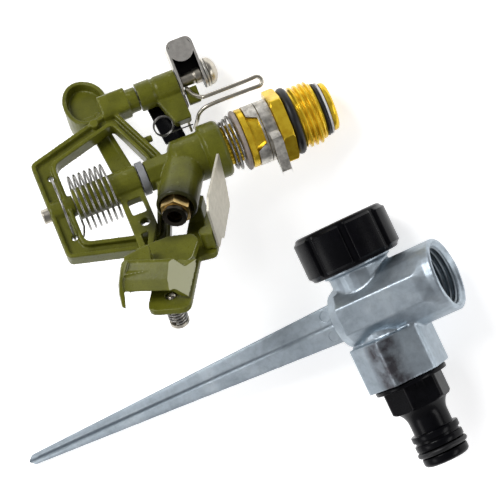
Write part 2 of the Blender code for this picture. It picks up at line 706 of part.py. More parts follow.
def make_nozzle():
    start = BARREL_LENGTH - 1.2 + CLEAR
    face = BARREL_LENGTH + NOZZLE_HEX_L
    head = prism("nozzle", [polygon(6, NOZZLE_AF, math.radians(24.0))], start, face - NOZZLE_RIM_L)
    rim = rod("rim", NOZZLE_RIM_R, start + 0.5, face, FINE)
    thread = rod("thread", BARREL_BORE_R - CLEAR, BARREL_LENGTH - 8.0, start + 0.5, FINE)
    head = join(head, rim, thread)
    bore = turned("bore", [(0.0, face + 1.0), (NOZZLE_BORE_R, face + 1.0),
                           (NOZZLE_BORE_R, face - 4.0), (NOZZLE_BORE_R + 0.9, face - 9.0),
                           (NOZZLE_BORE_R + 0.9, face - 20.0), (0.0, face - 20.0)], FINE)
    nozzle = cut(head, bore)
    place(nozzle, axes(JET_ROOT, JET_UP, JET))
    return finish(nozzle, "nozzle", BRASS, HEAD)


# ---- swinging arm -------------------------------------------------------------
def arm_frame():
    """x out along the arm, y up, z to the right of the arm."""
    return upright(ARM_TURN)


def make_arm_web():
    low, high = ARM_Z, ARM_TOP_Z
    half = 0.5 * ARM_WEB
    spoon = SPOON_START
    front = rounded([(-4.0, low), (20.5, low + 0.4), (spoon + 2.0, high - 1.2),
                     (spoon + 2.0, high + 0.6), (4.0, high), (-4.0, high)], 0.6, 2)
    web = prism("web", [front], -half, half)
    square = rounded([(7.6, low + 1.7), (14.2, low + 1.7), (14.2, high - 1.7), (7.6, high - 1.7)],
                     0.5, 2)
    triangle = rounded([(22.2, low + 3.9), (28.8, high - 1.6), (22.2, high - 1.6)], 0.5, 2)
    for index, hole in enumerate((square, triangle)):
        web = cut(web, prism("hole%d" % index, [hole], -half - 1.0, half + 1.0))
    round_hole = shift(rod("hole", 1.6, -half - 1.0, half + 1.0, 16), 18.2, 0.5 * (low + high) - 0.4)
    web = cut(web, round_hole)
    rear_end = CUP_REACH - CUP_R + 2.0
    rear = prism("rear", [[(-rear_end, high - 5.6), (-3.0, high - 7.6), (-3.0, high - 1.4),
                           (-rear_end, high + 0.4)]], -0.25 * ARM_WEB, 0.35 * ARM_WEB)
    rib_line = [(-rear_end, high - 5.2), (-3.0, low), (-3.0, low + 1.6), (-rear_end, high - 3.6)]
    rib = prism("rib", [rib_line], -half, half)
    return join(web, rear, rib)


def swept(name, outline, travel):
    """A solid left by a flat outline of points in space moved along the travel."""
    count = len(outline)
    ends = [Vector(p) * MM for p in outline] + [(Vector(p) + Vector(travel)) * MM for p in outline]
    sides = [(i, (i + 1) % count, count + (i + 1) % count, count + i) for i in range(count)]
    mesh = bpy.data.meshes.new(name)
    mesh.from_pydata(ends, [], sides + [tuple(range(count)), tuple(range(count, 2 * count))])
    work = bmesh.new()
    work.from_mesh(mesh)
    bmesh.ops.triangulate(work, faces=work.faces)
    bmesh.ops.recalc_face_normals(work, faces=work.faces)
    work.to_mesh(mesh)
    work.free()
    return mesh_object(name, mesh)


def view_side(right, near, height):
    """A point given across and towards the front-left of the head."""
    turn = math.radians(39.4)
    x = near * math.cos(turn) - right * math.sin(turn)
    y = near * math.sin(turn) + right * math.cos(turn)
    return Vector((x, y, height))


def make_spoon():
    """The vane block that the jet strikes, with a lip on top and a curtain behind it."""
    out = Vector((math.cos(ARM_TURN), math.sin(ARM_TURN), 0.0))
    rise = out * -math.sin(BARREL_RISE) + Vector((0.0, 0.0, math.cos(BARREL_RISE)))
    near_side = [view_side(right, near, ARM_TOP_Z - drop) for right, near, drop in
                 [(-29.4, 32.4, 14.0), (-30.3, 33.8, 9.9), (-26.6, 34.7, 7.1), (-27.2, 35.2, 5.5),
                  (-32.0, 36.0, 3.1), (-35.5, 36.2, 2.4), (-35.9, 35.6, 4.4)]]
    block = swept("spoon", near_side, rise * SPOON_H)
    far_tip = [view_side(-39.6, 34.5, ARM_TOP_Z - 7.5), view_side(-31.6, 32.6, ARM_TOP_Z - 13.2)]
    vane = swept("vane", near_side + far_tip, rise * 2.4)
    shift(vane, *(rise * -0.05))
    block = join(block, vane)
    lip_line = [(-35.8, 11.9), (-35.1, 12.7), (-31.0, 12.1), (-28.2, 11.2), (-24.3, 9.1),
                (-21.9, 6.9), (-22.6, 6.1), (-27.8, 9.9), (-32.5, 10.9)]
    lip = swept("lip", [view_side(x, 26.0, ARM_TOP_Z + z) for x, z in lip_line],
                view_side(0.0, 7.0, 0.0))
    return join(block, lip)


def make_curtain():
    """The flat plate in the arm's plane between the web and the spoon."""
    line = [(28.4, 1.6), (28.4, -9.0), (31.0, -16.5), (34.0, -17.3), (40.0, -13.1), (43.0, -1.1),
            (38.0, 8.9), (34.0, 6.9)]
    outline = rounded([(x, ARM_TOP_Z + z) for x, z in line], 0.8, 2)
    curtain = prism("curtain", [outline], -3.0, 0.2)
    foot = [(33.0, -2.1), (43.0, -0.1), (41.0, 8.9), (34.0, 6.5)]
    root = prism("root", [[(x, ARM_TOP_Z + z) for x, z in foot]], -8.4, 0.9)
    return join(curtain, root)


def make_cup():
    """A round dish on the tail of the arm, open on its left side."""
    wide = 1.36 * CUP_R
    steps = 28
    angles = [2.0 * math.pi * i / steps for i in range(steps)]

    def oval(size):
        return [(-CUP_REACH + (wide + size) * math.cos(a) * (1.0 + 0.10 * math.sin(a)),
                 CUP_Z + (CUP_R + size) * math.sin(a)) for a in angles]

    face = CUP_BACK - CUP_DEPTH
    cup = prism("cup", [oval(0.0)], face, CUP_BACK)
    hollow = prism("hollow", [oval(-CUP_WALL)], face - 1.0, face + CUP_HOLLOW)
    return cut(cup, hollow)


def make_arm():
    arm = join(make_arm_web(), make_curtain(), make_cup())
    place(arm, arm_frame())
    hub = rod("hub", HUB_R, ARM_Z, HUB_TOP_Z, FINE + 4)
    arm = join(arm, hub, make_spoon())
    bore = rod("bore", PIN_R + RUN, ARM_Z - 1.0, HUB_TOP_Z + 1.0, FINE)
    arm = cut(arm, bore)
    return finish(arm, "arm", OLIVE, HEAD, crease=28.0)


def make_arm_pin():
    pin = turned("arm_pin", [(0.0, BRIDGE_TOP + PIN_STUB), (PIN_R - 0.3, BRIDGE_TOP + PIN_STUB),
                             (PIN_R, BRIDGE_TOP + PIN_STUB - 0.3),
                             (PIN_R, BODY_NECK_Z + NECK_H - 7.5), (0.0, BODY_NECK_Z + NECK_H - 7.5)],
                 FINE)
    finish(pin, "arm_pin", STEEL, HEAD)
    washer = ring("washer", ARM_WASHER_R, PIN_R + RUN, ARM_WASHER_Z, ARM_WASHER_Z + ARM_WASHER_H)
    finish(washer, "arm_washer", NYLON, HEAD)


def make_arm_spring():
    """A coil round the hub whose last half turn is threaded through the bridge's two holes."""
    low = ARM_TOP_Z + CLEAR + ARM_SPRING_WIRE_R
    high = BEAM_Z - CLEAR - 3.0 * ARM_SPRING_WIRE_R
    r = ARM_SPRING_R - ARM_SPRING_WIRE_R
    line = coil(ARM_SPRING_TURNS, low, high, r, r, 14, BRIDGE_TURN - math.radians(60.0))
    hole = SPRING_HOLE_REACH
    clear_y = 0.5 * BRIDGE_DEPTH + CLEAR + ARM_SPRING_WIRE_R
    bend = [(0.71 * hole, -clear_y - 2.9, high + 1.2), (0.93 * hole, -clear_y - 0.9, high + 3.2),
            (hole, 1.2 - clear_y, SPRING_HOLE_Z), (hole, 0.0, SPRING_HOLE_Z),
            (hole, clear_y - 1.2, SPRING_HOLE_Z)]
    bend += [(r * 1.12 * math.cos(a), clear_y - 1.2 + 0.78 * r * math.sin(a), SPRING_HOLE_Z)
             for a in [math.radians(25.0 * i) for i in range(1, 7)]]
    bend += [(-hole, clear_y - 1.2, SPRING_HOLE_Z), (-hole, -0.6, SPRING_HOLE_Z)]
    turned_bend = [Vector((x * math.cos(BRIDGE_TURN) - y * math.sin(BRIDGE_TURN),
                           x * math.sin(BRIDGE_TURN) + y * math.cos(BRIDGE_TURN), z))
                   for x, y, z in bend]
    line = line[:-1] + eased([line[-1]] + turned_bend, 2)
    return finish(wire("coil", line, ARM_SPRING_WIRE_R), "arm_spring", STEEL, HEAD)


# ---- trip gear ----------------------------------------------------------------
PIVOT = Vector(bridge_point(-PIVOT_REACH, 0.0))


def make_trip_lever():
    low, high = LEVER_Z, LEVER_TOP_Z
    bore = PIVOT_R + RUN
    hub = turned("hub", [(LEVER_HUB_R, high), (LEVER_HUB_R, high - 5.0), (LEVER_HUB_R - 0.3, high - 5.2),
                         (LEVER_HUB_R - 0.3, high - 6.4), (LEVER_HUB_R, high - 6.6),
                         (LEVER_HUB_R, low), (bore, low), (bore, high)], 24, hollow=True)
    side = prism("side", [rounded([(3.0, low), (LEVER_REACH, low), (LEVER_REACH, low + 5.6),
                                   (3.0, low + 8.8)], 0.6, 2)], -2.1, 2.3)
    place(side, upright(math.radians(-32.0)))
    lever = join(hub, side)
    shift(lever, PIVOT.x, PIVOT.y)
    return finish(lever, "trip_lever", OLIVE, HEAD, origin=PIVOT)


def make_trip_bracket():
    """A steel strip bent in a U round the pivot, with a back wall, a round ear and a tongue."""
    low, top = BRACKET_Z, BRACKET_TOP_Z
    middle = 0.5 * PLATE_T
    end = CLIP_REACH - middle - CLIP_BEND
    quarter = [0.5 * math.pi * i / 4 for i in range(5)]
    line = [(-CLIP_HALF - 1.0, top - middle)]
    line += [(end + CLIP_BEND * math.sin(a), top - middle - CLIP_BEND * (1.0 - math.cos(a)))
             for a in quarter]
    line += [(end + CLIP_BEND * math.cos(a), low + middle + CLIP_BEND * (1.0 - math.sin(a)))
             for a in quarter]
    line += [(-CLIP_HALF - 1.0, low + middle)]
    clip = place(prism("clip", [strip(line, PLATE_T)], -CLIP_HALF, CLIP_HALF), upright(0.0))
    far = CLIP_REACH + 1.0
    plan = prism("plan", [rounded([(-4.8, -CLIP_HALF - 0.1), (far, -CLIP_HALF - 0.1),
                                   (far, CLIP_HALF + 0.1), (-4.8, CLIP_HALF + 0.1)],
                                  [4.0, 0, 0, 4.0], 5)], low - 1.0, top + 1.0)
    clip = boolean(clip, [plan], "INTERSECT")
    ear_r = 0.5 * BRACKET_H - 0.5 * PLATE_T
    ear_x = CLIP_REACH - CLIP_BEND - 1.6
    height = 0.5 * (low + top)
    ear_line = [(ear_x - ear_r * math.sin(a), height + ear_r * math.cos(a))
                for a in [math.pi * i / 12 for i in range(13)]]
    ear_line += [(CLIP_REACH - 0.5, height - ear_r + 1.4), (CLIP_REACH - 0.5, height + ear_r - 1.4)]
    ear = place(prism("ear", [ear_line], -middle, middle), upright(0.0))
    shift(ear, 0.0, middle - CLIP_HALF)
    wall_x = CLIP_REACH - 0.5
    wall_line = [(1.0, low + 0.1), (end, low + 0.1), (wall_x, low + CLIP_BEND),
                 (wall_x, top - CLIP_BEND), (end, top - 0.1), (1.0, top - 0.1)]
    wall = place(prism("wall", [wall_line], -middle, middle), upright(0.0))
    shift(wall, 0.0, CLIP_HALF - middle)
    clip = join(clip, ear, wall)
    spin(clip, math.radians(132.0))
    raised = top + TONGUE_LIFT
    tongue = prism("tongue", [[(3.4, top - PLATE_T), (8.2, top - PLATE_T), (10.4, raised - PLATE_T),
                               (16.6, raised - PLATE_T), (16.6, raised), (10.2, raised), (8.0, top),
                               (3.4, top)]], -0.8, 1.3)
    place(tongue, upright(math.radians(-60.0)))
    bore = rod("bore", PIVOT_R + CLEAR, low - 1.0, top + 1.0, FINE)
    clip = cut(join(clip, tongue), bore)
    shift(clip, PIVOT.x, PIVOT.y)
    return finish(clip, "trip_bracket", STEEL, HEAD, origin=PIVOT)


def make_trip_block():
    """The stop under the clip's upper plate, and the bush between the two plates."""
    top = BRACKET_TOP_Z - PLATE_T - CLEAR
    low = BRACKET_Z + PLATE_T + CLEAR
    start = BUSH_R + CLEAR
    block = prism("block", [rounded([(start, -2.0), (8.4, -2.0), (8.4, 2.0), (start, 2.0)],
                                    [0, 0.8, 0.8, 0], 2)], top - 4.0, top)
    spin(block, math.radians(-48.0))
    shift(block, PIVOT.x, PIVOT.y)
    finish(block, "trip_block", OLIVE, HEAD, origin=PIVOT)
    bush = turned("spacer", [(BUSH_R - 0.4, top), (BUSH_R - 0.4, low + 2.4), (BUSH_R, low + 2.0),
                             (BUSH_R, low), (PIVOT_R + CLEAR, low), (PIVOT_R + CLEAR, top)], 20,
                  hollow=True)
    shift(bush, PIVOT.x, PIVOT.y)
    finish(bush, "pivot_spacer", STEEL, HEAD, origin=PIVOT)


def make_trip_wire():
    """A long wire loop that hangs beside the collars and meets their tabs."""
    left, right = 14.3, 17.3
    top = BRACKET_TOP_Z - PLATE_T - CLEAR - TRIP_WIRE_R
    foot = HEX_Z + HEX_H
    near = 0.5
    middle = 0.5 * (left + right)
    bend = [view_side(middle - 1.5 * math.cos(a), near, foot - 1.5 * math.sin(a))
            for a in [math.pi * i / 8 for i in range(9)]]
    hook = BRACKET_TOP_Z + TONGUE_LIFT - PLATE_T - CLEAR - TRIP_WIRE_R
    rise = eased([view_side(9.6, -13.2, hook), view_side(9.8, -9.0, hook),
                  view_side(11.2, -4.2, hook - 0.8), view_side(13.3, -0.9, hook - 2.4),
                  view_side(left, near, top - 5.0)], 4)
    fall = eased([view_side(right, near, top - 5.0), view_side(right + 0.3, near - 0.8, top - 2.8),
                  view_side(19.6, -4.2, top - 0.8), view_side(22.4, -8.2, top)], 4)
    return finish(wire("wire", rise + bend + fall, TRIP_WIRE_R), "trip_wire", STEEL, HEAD,
                  origin=PIVOT)


def make_trip_spring():
    turns = coil(4.0, -1.3, 1.3, TRIP_SPRING_R, TRIP_SPRING_R, 12, math.radians(90.0))
    centre = view_side(13.4, -1.6, strut_foot(13.5) - 7.7)
    lay = axes(centre, (0.0, 0.0, 1.0), (math.cos(0.35), math.sin(0.35), 0.0))
    points = [(lay @ (p * MM)) / MM for p in turns]
    hook = BRACKET_TOP_Z + TONGUE_LIFT - PLATE_T - CLEAR
    leg = view_side(10.6, -5.8, hook + 0.1 + TRIP_SPRING_WIRE_R)
    points = [leg, points[0].lerp(leg, 0.5)] + points
    return finish(wire("spring", points, TRIP_SPRING_WIRE_R), "trip_spring", STEEL, HEAD)


def make_pivot_screw():
    low = BRACKET_Z - CLEAR
    washer = ring("washer", DOME_R + 0.2, PIVOT_R + CLEAR, low - 0.7, low, 24)
    shift(washer, PIVOT.x, PIVOT.y)
    finish(washer, "pivot_washer", STEEL, HEAD, origin=PIVOT)
    under = low - 0.7 - CLEAR
    dome = [(DOME_R * math.cos(a), under - 0.4 - 2.9 * math.sin(a))
            for a in [0.5 * math.pi * i / 6 for i in range(7)]]
    dome[-1] = (0.0, dome[-1][1])
    profile = [(0.0, BLOCK_TOP_Z - 3.0), (PIVOT_R, BLOCK_TOP_Z - 3.0), (PIVOT_R, under),
               (DOME_R, under)] + dome
    screw = turned("screw", profile, 24)
    shift(screw, PIVOT.x, PIVOT.y)
    finish(screw, "pivot_screw", STEEL, HEAD, origin=PIVOT)


def make_lever_bar():
    """A flat bar clipped beside the lever's hub that reaches towards the body."""
    low, high = LEVER_Z + 4.9, LEVER_TOP_Z - 2.7
    bar = prism("bar", [rounded([(-26.0, low), (-11.4, low - 1.2), (-11.4, high), (-26.0, high + 1.0)],
                                0.5, 2)], LEVER_HUB_R + CLEAR, LEVER_HUB_R + CLEAR + 1.4)
    place(bar, upright(BRIDGE_TURN))
    return finish(bar, "lever_bar", PLASTIC, HEAD, origin=PIVOT)


# ---- jet gear -----------------------------------------------------------------
def make_diffuser():
    side = TONGUE_SIDE + TONGUE_T + CLEAR
    head_z = side + SCREW_SPRING_L
    screw = turned("screw", [(0.0, head_z + 1.6), (SCREW_HEAD_R - 0.4, head_z + 1.6),
                             (SCREW_HEAD_R, head_z + 1.2), (SCREW_HEAD_R, head_z), (SCREW_R, head_z),
                             (SCREW_R, TONGUE_SIDE + 0.6), (SCREW_R - 0.6, TONGUE_SIDE),
                             (0.0, TONGUE_SIDE)], FINE)
    lay = jet_frame(TONGUE_END - 6.5)
    place(screw, lay)
    origin = JET_ROOT + JET * (TONGUE_END - 6.5)
    finish(screw, "diffuser_screw", STEEL, HEAD, origin=origin)
    wire_r = SCREW_SPRING_WIRE_R
    line = coil(6.0, side + wire_r, head_z - CLEAR - wire_r, SCREW_SPRING_R, None, 12)
    spring = wire("spring", line, wire_r)
    place(spring, lay)
    finish(spring, "diffuser_spring", STEEL, HEAD, origin=origin)


def make_deflector():
    """A hinged lever under the jet line and the steel plate riveted below it."""
    lay = jet_frame(DEFLECTOR_ALONG, 0.0, -DEFLECTOR_DROP)
    inner = TONGUE_SIDE - CLEAR
    barrel = rod("barrel", 2.1, 3.0, inner, FINE)
    pin = rod("pin", 1.0, inner - 0.5, TONGUE_SIDE + TONGUE_T, 12)
    foot = prism("foot", [rounded([(-11.0, -2.6), (2.0, -2.6), (2.0, -1.0), (-1.0, 0.0),
                                   (-8.0, -1.2), (-11.0, -1.4)], 0.4, 2)], 3.0, inner)
    tab = prism("tab", [[(-4.6 * math.cos(a) - 5.4, -2.4 + 3.4 * math.sin(a))
                         for a in [math.pi * i / 12 for i in range(13)]]], 3.0, 4.8)
    lever = join(barrel, pin, foot, tab)
    place(lever, lay)
    origin = JET_ROOT + JET * DEFLECTOR_ALONG - JET_UP * DEFLECTOR_DROP
    finish(lever, "deflector_lever", OLIVE, HEAD, origin=origin)
    edge = TONGUE_SIDE - CLEAR
    sheet = prism("plate", [rounded([(-25.0, -7.0), (-23.4, 3.8), (-20.6, 11.4), (-4.8, 11.6),
                                     (-4.2, edge), (1.6, edge), (1.6, -6.0), (-3.0, -8.4), (-11.0, -7.6)], 0.8, 2)],
                  0.0, DEFLECTOR_T)
    lie = axes(origin, JET, JET_UP)
    place(shift(sheet, z=-2.6 - CLEAR - DEFLECTOR_T), lie @ Matrix.Diagonal((1.0, -1.0, 1.0, 1.0)))
    sheet.data.flip_normals()
    finish(sheet, "deflector_plate", STEEL, HEAD, origin=origin)


# ---- ground spike -------------------------------------------------------------
ALONG_HOSE = Matrix.Rotation(math.radians(90.0), 4, "Y")      # z of a turned piece to x


def blade_outline():
    half = 0.5 * BLADE_W
    tip = 0.5 * BLADE_TIP_W
    end = -BLADE_START - BLADE_L
    return [(-half, -BLADE_START + 4.0), (-tip, end + 1.8), (-0.3, end), (0.3, end),
            (tip, end + 1.8), (half, -BLADE_START + 4.0)]


def make_blade():
    front = prism("blade", [blade_outline()], -0.5 * BLADE_T, 0.5 * BLADE_T)
    end = -BLADE_START - BLADE_L
    top = -BLADE_START + 4.0
    rib_outline = [(-0.5 * BLADE_T, top), (-0.5 * BLADE_T - RIB_DEPTH, top),
                   (-0.5 * BLADE_T - 0.8, end + 3.0), (-0.3, end + 0.6), (0.0, end + 0.6), (0.0, top)]
    rib = prism("rib", [rib_outline], -0.5 * RIB_T, 0.5 * RIB_T)
    place(front, upright(0.0))
    place(rib, upright(math.radians(90.0)))
    face = 0.5 * BLADE_T
    half, tip = 0.5 * BLADE_W - 0.5, 0.5 * BLADE_TIP_W - 0.4
    crease, groove = [], []
    for z, side, height, (wide, deep) in ((top, half, CREASE, GROOVE_TOP),
                                          (end + 4.0, tip, 0.4 * CREASE, GROOVE_TIP)):
        crest = face + height
        crease += [(-side, face - 0.3, z), (side, face - 0.3, z), (-side, face + 0.02, z),
                   (side, face + 0.02, z), (0.0, crest, z)]
        opening = wide * (1.0 + deep) / deep
        groove += [(-opening, crest + 1.0, z), (opening, crest + 1.0, z), (0.0, crest - deep, z)]
    front = cut(join(front, hull("crease", crease)), hull("groove", groove))
    return join(front, rib)


def make_facet():
    """The flat down the front of the socket, whose flanks run off along its round."""
    face = SOCKET_R + FACET_RISE
    reach = math.hypot(FACET_HALF, face)
    flank = math.atan2(FACET_HALF, face) + math.acos(SOCKET_R / reach)
    inside = SOCKET_R - 0.05
    edge = (inside * math.sin(flank), inside * math.cos(flank))
    points = []
    for z in (FACET_LOW, FACET_HIGH):
        points += [(edge[0], edge[1], z), (-edge[0], edge[1], z), (0.0, 0.0, z),
                   (FACET_HALF, face, z), (-FACET_HALF, face, z)]
    for i in range(-4, 5):
        a = 0.25 * i * flank
        points.append((inside * math.sin(a), inside * math.cos(a), FACET_HIGH + FACET_FADE))
    return hull("facet", points)


def make_spike_body():
    socket = turned("socket", [(0.0, SOCKET_H), (SOCKET_R - 0.5, SOCKET_H), (SOCKET_R, SOCKET_H - 0.6),
                               (SOCKET_R, -HOSE_R + 3.0), (SOCKET_R - 3.0, -HOSE_R - 2.6),
                               (0.0, -HOSE_R - 3.0)], 36)
    hose = rod("hose", HOSE_R, -BOSS_START - 2.0, CAP_START + 0.4, 32)
    place(hose, ALONG_HOSE)
    spigot = rod("spigot", CAP_R - 4.6, CAP_START - 0.6, CAP_START + CAP_L - 3.4, 32)
    place(spigot, ALONG_HOSE)
    boss = prism("boss", [rounded(polygon(6, BOSS_AF, math.radians(30.0)), 1.2, 2)],
                 -BOSS_START - BOSS_L, -BOSS_START)
    place(boss, ALONG_HOSE)
    facet = make_facet()
    body = join(socket, hose, spigot, boss, facet, make_blade())
    bore_r = THREAD_R + SOCKET_CLEAR
    bore = turned("bore", [(0.0, SOCKET_H + 1.0), (bore_r + 0.2, SOCKET_H + 1.0),
                           (bore_r + 0.2, SOCKET_H - 0.6), (bore_r - 0.9, SOCKET_H - 1.4),
                           (bore_r - 0.9, SOCKET_H - 15.0), (6.0, SOCKET_H - 17.0), (6.0, -5.0),
                           (0.0, -5.0)], 32)
    line = rod("line", 6.0, -BOSS_START - BOSS_L - 1.0, CAP_START + CAP_L + 1.0, 24)
    place(line, ALONG_HOSE)
    counter = rod("counter", 9.0, -BOSS_START - BOSS_L - 1.0, -BOSS_START - BOSS_L + 9.0, 28)
    place(counter, ALONG_HOSE)
    body = cut(body, bore, line, counter)
    return finish(body, "spike_body", ZINC, SPIKE, crease=28.0)


def make_end_cap():
    start, end = CAP_START + CLEAR, CAP_START + CAP_L
    cap = turned("cap", [(0.0, end), (CAP_R - 2.2, end), (CAP_R - 1.0, end - 1.2),
                         (CAP_R - 1.0, start + 1.0), (CAP_R - 1.8, start), (0.0, start)], 40)
    width = 0.62 * 2.0 * math.pi * CAP_R / CAP_RIBS
    for i in range(CAP_RIBS):
        rib = prism("rib", [rounded([(CAP_R - 2.4, -0.5 * width), (CAP_R, -0.46 * width),
                                     (CAP_R, 0.46 * width), (CAP_R - 2.4, 0.5 * width)],
                                    [0, 0.9, 0.9, 0], 3)], start + 0.9, end - 0.9)
        cap = join(cap, spin(rib, 2.0 * math.pi * i / CAP_RIBS))
    hollow_r = CAP_R - 4.6 + CLEAR
    hollow = rod("hollow", hollow_r, start - 1.0, end - 2.4, 32)
    cap = cut(cap, hollow)
    place(cap, ALONG_HOSE)
    finish(cap, "end_cap", PLASTIC, SPIKE)
    washer = ring("washer", hollow_r - CLEAR, 6.5, end - 2.4 - 0.3 - 0.4, end - 2.4 - 0.15, 28)
    place(washer, ALONG_HOSE)
    finish(washer, "end_cap_washer", RUBBER, SPIKE)


def make_connector():
    face = -BOSS_START - BOSS_L
    flange = face - CLEAR
    hexagon = flange - 1.4
    waist = hexagon - 8.0
    ring_z = waist - 8.4
    groove = ring_z - 5.4
    end = groove - 5.6
    r = CONNECTOR_RING_R
    w = CONNECTOR_WAIST_R
    profile = [(9.0 - CLEAR, face + 8.0), (9.0 - CLEAR, flange), (CONNECTOR_FLANGE_R, flange),
               (CONNECTOR_FLANGE_R, hexagon), (0.46 * CONNECTOR_HEX_AF, hexagon),
               (0.46 * CONNECTOR_HEX_AF, waist), (w, waist - 2.2), (w, ring_z), (r, ring_z - 0.3),
               (r, ring_z - 2.2), (r - 0.7, ring_z - 2.5), (r - 0.7, ring_z - 3.2), (r, ring_z - 3.5),
               (r, groove), (w - 0.2, groove - 0.1), (w - 0.2, groove - 2.4), (r - 0.4, groove - 2.5),
               (r - 0.4, end + 1.0), (r - 1.4, end), (4.6, end), (4.6, face + 8.0)]
    body = turned("connector", profile, 32, hollow=True)
    hex_piece = prism("hex", [rounded(polygon(6, CONNECTOR_HEX_AF, math.radians(33.0)), 0.8, 2),
                              polygon(16, 14.0)], waist, hexagon)
    body = join(body, hex_piece)
    place(body, ALONG_HOSE)
    finish(body, "hose_connector", PLASTIC, SPIKE)
    seat = w - 0.2 + CLEAR + 0.9
    loop = [(seat * math.cos(a), seat * math.sin(a), groove - 1.25)
            for a in [2.0 * math.pi * i / 32 for i in range(32)]]
    o_ring = wire("o", loop, 0.9, closed=True)
    place(o_ring, ALONG_HOSE)
    finish(o_ring, "connector_o_ring", RUBBER, SPIKE)


# ---- laying both pieces on the ground -----------------------------------------
def points_of(pieces):
    found = []
    for piece in pieces:
        offset_to = piece.location
        found += [vertex.co + offset_to for vertex in piece.data.vertices]
    return found


def lowest(points, turn):
    return min((turn @ point).z for point in points)


def lay_down(heavy_end, light_end, turn_at):
    """The tilt at which both ends' lowest points are level, found by halving."""
    low, high = 0.0, math.radians(60.0)
    for _ in range(40):
        middle = 0.5 * (low + high)
        turn = turn_at(middle)
        if lowest(light_end, turn) > lowest(heavy_end, turn):
            high = middle
        else:
            low = middle
    return turn_at(0.5 * (low + high))


def settle(parent, turn, at, pieces):
    base = lowest(points_of(pieces), turn)
    parent.matrix_world = Matrix.Translation((at[0] * MM, at[1] * MM, -base)) @ turn.to_4x4()


def head_turn(tilt):
    """Axis near level with its top raised by the tilt, one side up, then turned on plan."""
    lean = Matrix.Rotation(math.radians(90.0) - tilt, 3, "Y")
    return Matrix.Rotation(HEAD_YAW, 3, "Z") @ lean @ Matrix.Rotation(math.pi - HEAD_ROLL, 3, "Z")


def spike_turn(tilt):
    stand = Matrix(((0.0, 0.0, 1.0), (1.0, 0.0, 0.0), (0.0, 1.0, 0.0)))
    return Matrix.Rotation(-tilt, 3, "Y") @ stand


make_bearing_tube()
make_washers()
NIPPLE = make_nipple()
make_inlet_o_ring()
make_collar("trip_collar_lower", COLLAR_Z[0], 0.0, math.radians(200.0))
make_collar("trip_collar_upper", COLLAR_Z[1], math.radians(245.0), math.radians(42.0))
make_stem_spring()
make_body()
make_nozzle()
ARM = make_arm()
make_arm_pin()
make_arm_spring()
make_trip_lever()
make_trip_bracket()
make_trip_block()
make_trip_wire()
make_trip_spring()
make_pivot_screw()
make_lever_bar()
make_diffuser()
make_deflector()
SPIKE_BODY = make_spike_body()
make_end_cap()
make_connector()

HEAD_PIECES = [piece for piece in PARTS.objects if piece.parent == HEAD]
SPIKE_PIECES = [piece for piece in PARTS.objects if piece.parent == SPIKE]
SPIKE_TIP = [p for p in points_of([SPIKE_BODY]) if p.z < -0.1]
SPIKE_HEAD = [p for p in points_of(SPIKE_PIECES) if p.z > -0.05]
settle(HEAD, lay_down(points_of([NIPPLE]), points_of([ARM]), head_turn), HEAD_AT, HEAD_PIECES)
settle(SPIKE, lay_down(SPIKE_TIP, SPIKE_HEAD, spike_turn), (0.0, 0.0), SPIKE_PIECES)

bpy.context.view_layer.update()
CORNERS = [piece.matrix_world @ vertex.co for piece in HEAD_PIECES + SPIKE_PIECES
           for vertex in piece.data.vertices]
MIDDLE = [0.5 * (min(c[i] for c in CORNERS) + max(c[i] for c in CORNERS)) for i in range(2)]
for frame_object in (HEAD, SPIKE):
    frame_object.matrix_world = (Matrix.Translation((-MIDDLE[0], -MIDDLE[1], 0.0))
                                 @ frame_object.matrix_world)
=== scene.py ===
"""Looks of the impact sprinkler head and its ground spike, on a plain white floor."""
import json
import math

import bmesh
import bpy
from mathutils import Matrix, Quaternion, Vector


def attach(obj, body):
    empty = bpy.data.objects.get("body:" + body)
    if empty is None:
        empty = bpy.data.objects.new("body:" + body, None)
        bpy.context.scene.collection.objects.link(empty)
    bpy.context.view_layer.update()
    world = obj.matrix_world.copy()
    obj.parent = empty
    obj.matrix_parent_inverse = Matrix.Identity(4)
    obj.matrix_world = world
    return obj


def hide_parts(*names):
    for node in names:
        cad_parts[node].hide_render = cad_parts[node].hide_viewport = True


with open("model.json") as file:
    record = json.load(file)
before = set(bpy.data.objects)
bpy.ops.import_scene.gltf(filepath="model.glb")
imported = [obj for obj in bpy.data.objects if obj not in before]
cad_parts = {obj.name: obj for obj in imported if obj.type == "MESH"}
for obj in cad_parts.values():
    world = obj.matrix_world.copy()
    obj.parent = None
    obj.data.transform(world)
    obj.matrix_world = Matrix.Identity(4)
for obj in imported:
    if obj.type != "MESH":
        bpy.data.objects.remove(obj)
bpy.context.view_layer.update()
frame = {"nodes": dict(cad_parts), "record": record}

MM = 0.001
TAU = 2.0 * math.pi
NODES = frame["nodes"]
RECORD = frame["record"]
JOINTS = {joint["name"]: joint for joint in RECORD["behaviour"]["joints"]}
MOUNTS = {mount["name"]: mount for mount in RECORD["mounts"]}

# ---- the two local frames, in millimetres --------------------------------------
SPIKE_TILT = math.radians(5.8824)      # the spike's socket end is raised by this
HEAD_TURN_HEIGHT = 20.0                # of the turning joint's point above the inlet end
HOSE_END_AT = Vector((-54.5, 0.0, 5.4))


def local_frame(x_axis, y_axis, z_axis, origin):
    turn = Matrix((x_axis, y_axis, z_axis)).transposed().to_4x4()
    return Matrix.Translation(origin) @ turn @ Matrix.Scale(MM, 4)


